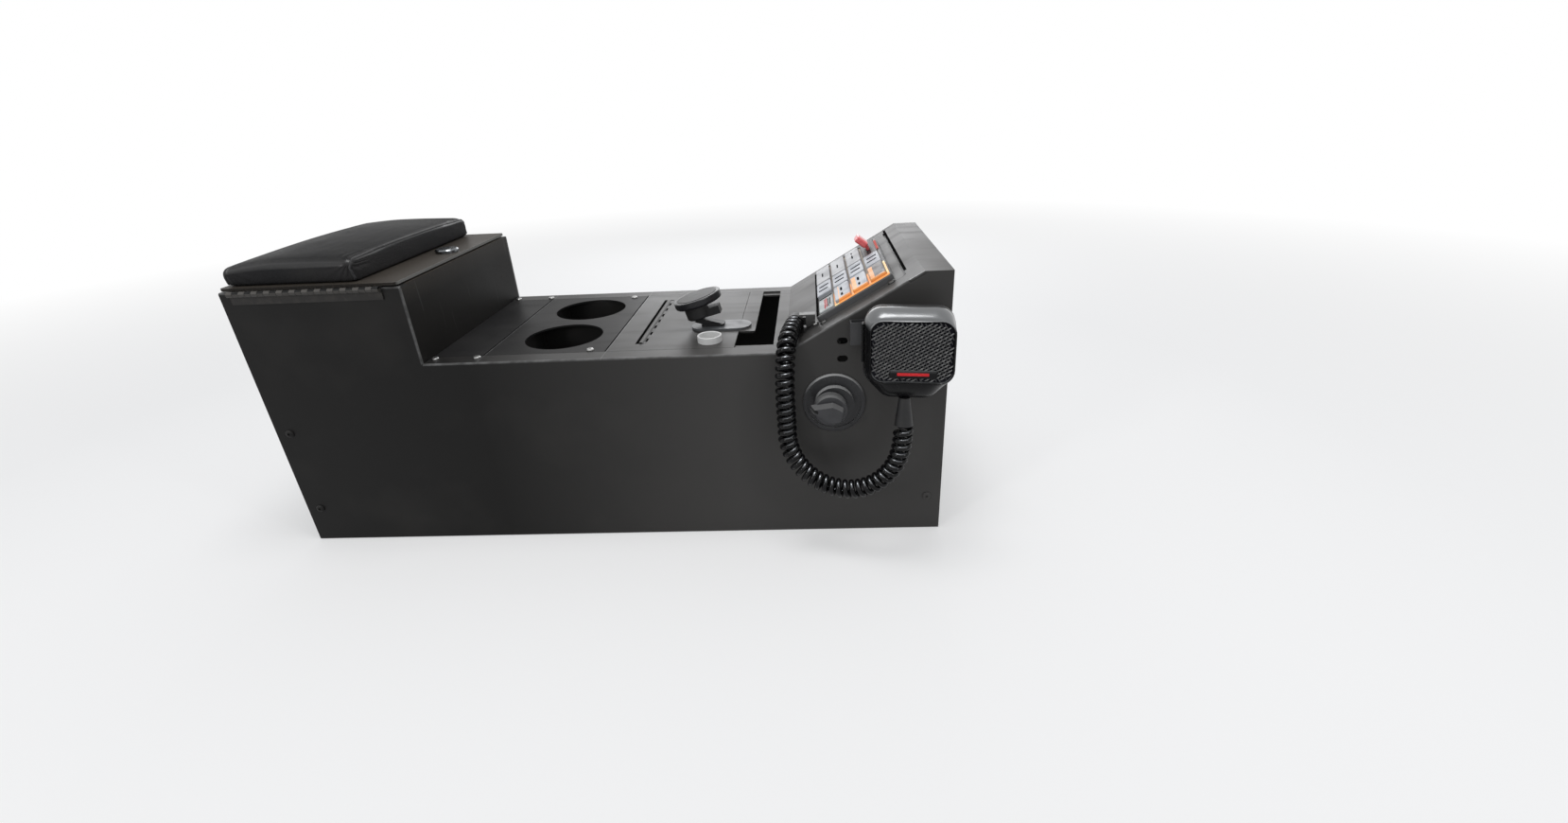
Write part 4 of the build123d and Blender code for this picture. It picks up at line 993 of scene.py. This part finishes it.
def shell_screws():
    """The screws that hold the plates, the end walls and the tab."""
    up = (0, 0, 1)
    rows = ((-0.159, 0.1045), (-0.117, 0.1045), (-0.0083, 0.093))
    tops = [((x, y, DECK), up) for x, half in rows for y in (-half, half)]
    screws("plate_screws", tops, 0.0036, 0.0018)
    sides = [((x, -side * NEAR, z), (0, side, 0)) for x, z in ((-0.322, 0.04), (-0.322, 0.13), (0.322, 0.04))
             for side in (-1, 1)]
    screws("wall_screws", sides, 0.0042, 0.002, "hex", COAT)
    ends = [((end * FRONT, y, z), (end, 0, 0)) for end, z in ((-1, 0.2), (1, 0.22)) for y in (-0.095, 0.095)]
    screws("end_screws", ends, 0.0042, 0.002, "hex", COAT)
    tab = slope_place(0.0342, -0.0915, 0.0015).to_translation()
    screws("tab_screw", [(tab, SLOPE_OUT)], 0.0028, 0.0016)
    bolts = [((x, side * 0.105, 0.002), up) for x in (-0.28, 0.28) for side in (-1, 1)]
    screws("floor_bolts", bolts, 0.0085, 0.0055, "hex")


def rounded_polygon(corners, r, steps=6):
    """A polygon's outline with its corners rounded."""
    points = []
    for i, corner in enumerate(corners):
        here = Vector(corner)
        back = (Vector(corners[i - 1]) - here).normalized()
        on = (Vector(corners[(i + 1) % len(corners)]) - here).normalized()
        half = back.angle(on) / 2
        centre = here + (back + on).normalized() * r / sin(half)
        first, last = here + back * r / tan(half) - centre, here + on * r / tan(half) - centre
        sweep = pi - 2 * half
        for k in range(steps + 1):
            a, b = sin(sweep * (1 - k / steps)) / sin(sweep), sin(sweep * k / steps) / sin(sweep)
            points.append(centre + first * a + last * b)
    return points


def reach_to(outline, centre, ahead):
    """How far an outline lies from a centre in a direction."""
    far = 0.0
    for a, b in zip(outline, outline[1:] + outline[:1]):
        a, b = Vector(a) - centre, Vector(b) - centre
        run = b - a
        cross = ahead.x * run.y - ahead.y * run.x
        if abs(cross) > 1e-12:
            reach = (a.x * run.y - a.y * run.x) / cross
            along = (a.x * ahead.y - a.y * ahead.x) / cross
            if -1e-6 <= along <= 1 + 1e-6:
                far = max(far, reach)
    return far


def mic_case():
    """The microphone's glossy front half, sloping in from its outline to a raised lip round the wire."""
    half_w, half_h = 0.039, 0.0405
    foot = (0.019, 0.02)
    corners = [(half_w, half_h), (-half_w, half_h), (-half_w, foot[1] - half_h), (foot[0] - half_w, -half_h),
               (half_w - foot[0], -half_h), (half_w, foot[1] - half_h)]
    outer = rounded_polygon(corners, 0.016, 8)
    centre = Vector(GRILLE_MID)
    wide, tall = (size + 0.0038 for size in GRILLE_SIZE)
    lip = [Vector(p) + centre for p in rounded_outline(wide, tall, 0.0119, 10)]
    back = MIC_DEEP * 0.42 + 0.0004
    profile = [(0.0, back), (0.0, back + 0.002)]
    for k in range(1, 9):
        a = pi / 2 * k / 8
        profile.append((1 - cos(a) ** 1.45, back + 0.002 + (MIC_DEEP - 0.0165) * sin(a) ** 1.45))
    over = [(0.0003, 0.0008), (0.001, 0.0015), (0.0017, 0.0015), (0.0023, 0.0009), (0.0025, 0.0),
            (0.0025, -0.0022)]
    spokes = [(ahead, reach_to(outer, centre, ahead), reach_to(lip, centre, ahead))
              for ahead in map(Vector, circle(1, 96))]
    rings = [[(*(centre + ahead * (wall * (1 - share) + mouth * share)), deep)
              for ahead, wall, mouth in spokes] for share, deep in profile]
    rings += [[(*(centre + ahead * (mouth - inset)), profile[-1][1] + rise) for ahead, _, mouth in spokes]
              for inset, rise in over]
    case = lofted("mic_front_case", rings, GLOSS, MIC @ UPRIGHT, 40)
    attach(case, "console")
    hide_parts("mic_front")


def strand(length, radius, rise, material):
    """One bend of a woven wire, lying along X: over one crossing and down to the next on both sides."""
    rings = []
    for k in range(9):
        x = length * (k / 8 - 0.5)
        z = rise * cos(2 * pi * x / length)
        rings.append([(x, radius * cos(pi / 3 * c), z + radius * 0.8 * sin(pi / 3 * c)) for c in range(6)])
    made = lofted("strand", rings, material)
    made.data.shade_smooth()
    return made


def inside_grille(x, y, margin):
    """Whether a point of the microphone's front is on its woven part."""
    half_w, half_h = GRILLE_SIZE[0] / 2 - margin, GRILLE_SIZE[1] / 2 - margin
    corner = GRILLE_R - margin / 2
    dx, dy = max(abs(x) - half_w + corner, 0), max(abs(y) - half_h + corner, 0)
    return dx * dx + dy * dy < corner * corner


def grille_weave():
    """The microphone's woven wire front, crowned a little, with its backing and its bare name place."""
    wide, tall = GRILLE_SIZE[0] - 0.0008, GRILLE_SIZE[1] - 0.0008
    face = MIC @ Matrix.Translation((GRILLE_MID[0], 0, GRILLE_MID[1])) @ UPRIGHT
    floor = MIC_DEEP - 0.0023
    pieces = [thin_plate("backing", wide, tall, GRILLE_R, floor, floor + 0.0008, 0.0002, BLACK_INK, face)]
    # The weft's lighter tone is a painted highlight.
    wires = ((WIRE_PAINTED_LIT, WEFT_R, WEAVE_TURN, 0), (DARK_WIRE, WARP_R, WEAVE_TURN + pi / 2, 1))
    for material, radius, turn, odd in wires:
        places = []
        for i in range(-18, 19):
            for j in range(-18, 19):
                if (i + j + odd) % 2 == 0:
                    x = WEAVE_PITCH * (i * cos(WEAVE_TURN) - j * sin(WEAVE_TURN))
                    y = WEAVE_PITCH * (i * sin(WEAVE_TURN) + j * cos(WEAVE_TURN))
                    if inside_grille(x, y, 0.0014):
                        crown = 0.0006 * (1 - (2 * x / wide) ** 2) * (1 - (2 * y / tall) ** 2)
                        place = face @ Matrix.Translation((x, y, floor + 0.0019 + crown))
                        turned = place @ Matrix.Rotation(turn, 4, "Z")
                        places.append((turned.to_translation(), turned.to_euler()))
        shape = strand(2 * WEAVE_PITCH, radius, (WEFT_R + WARP_R) * 0.45, material)
        pieces.append(repeated("strands", shape, places, material))
    made = joined("mic_grille_weave", pieces)
    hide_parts("mic_grille")
    spot = face @ Matrix.Translation((0.0015, -0.0188, MIC_DEEP))
    name_place = [thin_plate("name_plate", 0.04, 0.0072, 0.0012, 0, 0.0009, 0.0003, GLOSS, spot),
                  thin_plate("name_stripe", 0.027, 0.0026, 0.0006, 0.0009, 0.0011, 0.0001, RED_INK, spot)]
    joined("name_place", name_place)


def button_ribs():
    """The moulded ribs on the talk button."""
    face = MIC @ Matrix.Rotation(-pi / 2, 4, "Y")
    ribs = [thin_plate("rib", 0.0012, 0.0075, 0.0005, 0.0404, 0.0409, 0.0002, GLOSS,
                       face @ Matrix.Translation((0.009 + i * 0.0036, -0.0125, 0))) for i in range(-3, 4)]
    joined("button_ribs", ribs)


def head_pad():
    """The rubber pad on the telephone mount's head."""
    turned = Matrix.Translation(PHONE_BALL) @ Matrix.Rotation(HEAD_LEAN, 4, "Y")
    place = turned @ Matrix.Translation((0.005, 0, 0))
    profile = [(0.0215, 0.0180), (0.0215, 0.0186), (0.0208, 0.0188)]
    profile += [(0.0208 - 0.0016 * i, 0.0188 - 0.0002 * (i % 2)) for i in range(1, 12)]
    rings = [[(x, y, z) for x, y in circle(r, 48)] for r, z in profile]
    pad = lofted("head_pad", rings, MOULDED, place, 30)
    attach(pad, "phone_top")


def lamp(name, place, target, size, power, tint=(1, 1, 1)):
    """A soft square lamp looking at a point."""
    light = bpy.data.lights.new(name, "AREA")
    light.shape = "RECTANGLE"
    light.size, light.size_y = size
    light.energy = power
    light.color = tint
    turn = (Vector(target) - Vector(place)).to_track_quat("-Z", "Y")
    linked(name, light).matrix_world = Matrix.Translation(place) @ turn.to_matrix().to_4x4()


def pale_floor():
    """A pale floor that keeps the shadow near the console and is seen plain white further off."""
    f = Finish("pale_floor", (0.9, 0.9, 0.9), 0.8, Specular_IOR_Level=0.2)
    away = (f.x * f.x + f.y * f.y) ** 0.5
    white = f.node("ShaderNodeEmission", {"Color": (1, 1, 1, 1), "Strength": 1.0})
    share = f.seen() * (0.4 + 0.6 * ((away - WHITE_FROM) / WHITE_OVER).limited())
    both = f.node("ShaderNodeMixShader", {0: share, 1: f.surface.outputs[0], 2: white})
    f.link(f.tree.nodes["Material Output"].inputs["Surface"], both)
    return f.material


def pale_world():
    """A plain world that lights from all round, seen white by the camera and in gloss."""
    world = bpy.data.worlds.new("studio")
    bpy.context.scene.world = world
    world.use_nodes = True
    n = Nodes(world.node_tree)
    plain = n.tree.nodes["Background"]
    plain.inputs["Color"].default_value = (0.95, 0.97, 1, 1)
    plain.inputs["Strength"].default_value = 0.55
    white = n.node("ShaderNodeBackground", {"Color": (1, 1, 1, 1)})
    both = n.node("ShaderNodeMixShader", {0: n.seen(), 1: plain.outputs[0], 2: white})
    n.link(n.tree.nodes["World Output"].inputs["Surface"], both)


def studio():
    """The floor, the world and soft lamps: daylight from the far windows, more from above and from nearby."""
    pale_world()
    ground = mesh_object("floor", [(-30, -30, 0), (30, -30, 0), (30, 30, 0), (-30, 30, 0)], [(0, 1, 2, 3)],
                         pale_floor())
    lamp("window_far", (0.08, 1.4, 0.68), (0.1, 0, 0.2), (1.0, 0.55), 4.2, (0.97, 0.98, 1))
    lamp("overhead", (0.1, -0.15, 1.5), (0, 0, 0.2), (0.5, 0.4), 6)
    lamp("near_left", (-0.9, -1.3, 0.9), (0, 0, 0.2), (0.14, 0.5), 4.5)
    lamp("near_right", (1.3, -0.9, 0.8), (0.1, 0, 0.2), (0.14, 0.45), 2.5)
    bpy.context.scene.view_settings.view_transform = "Standard"


camera()
curly_cord()
cushion()
key_marks()
panel_trim()
plate_gaps()
shell_screws()
mic_case()
grille_weave()
button_ribs()
head_pad()
studio()
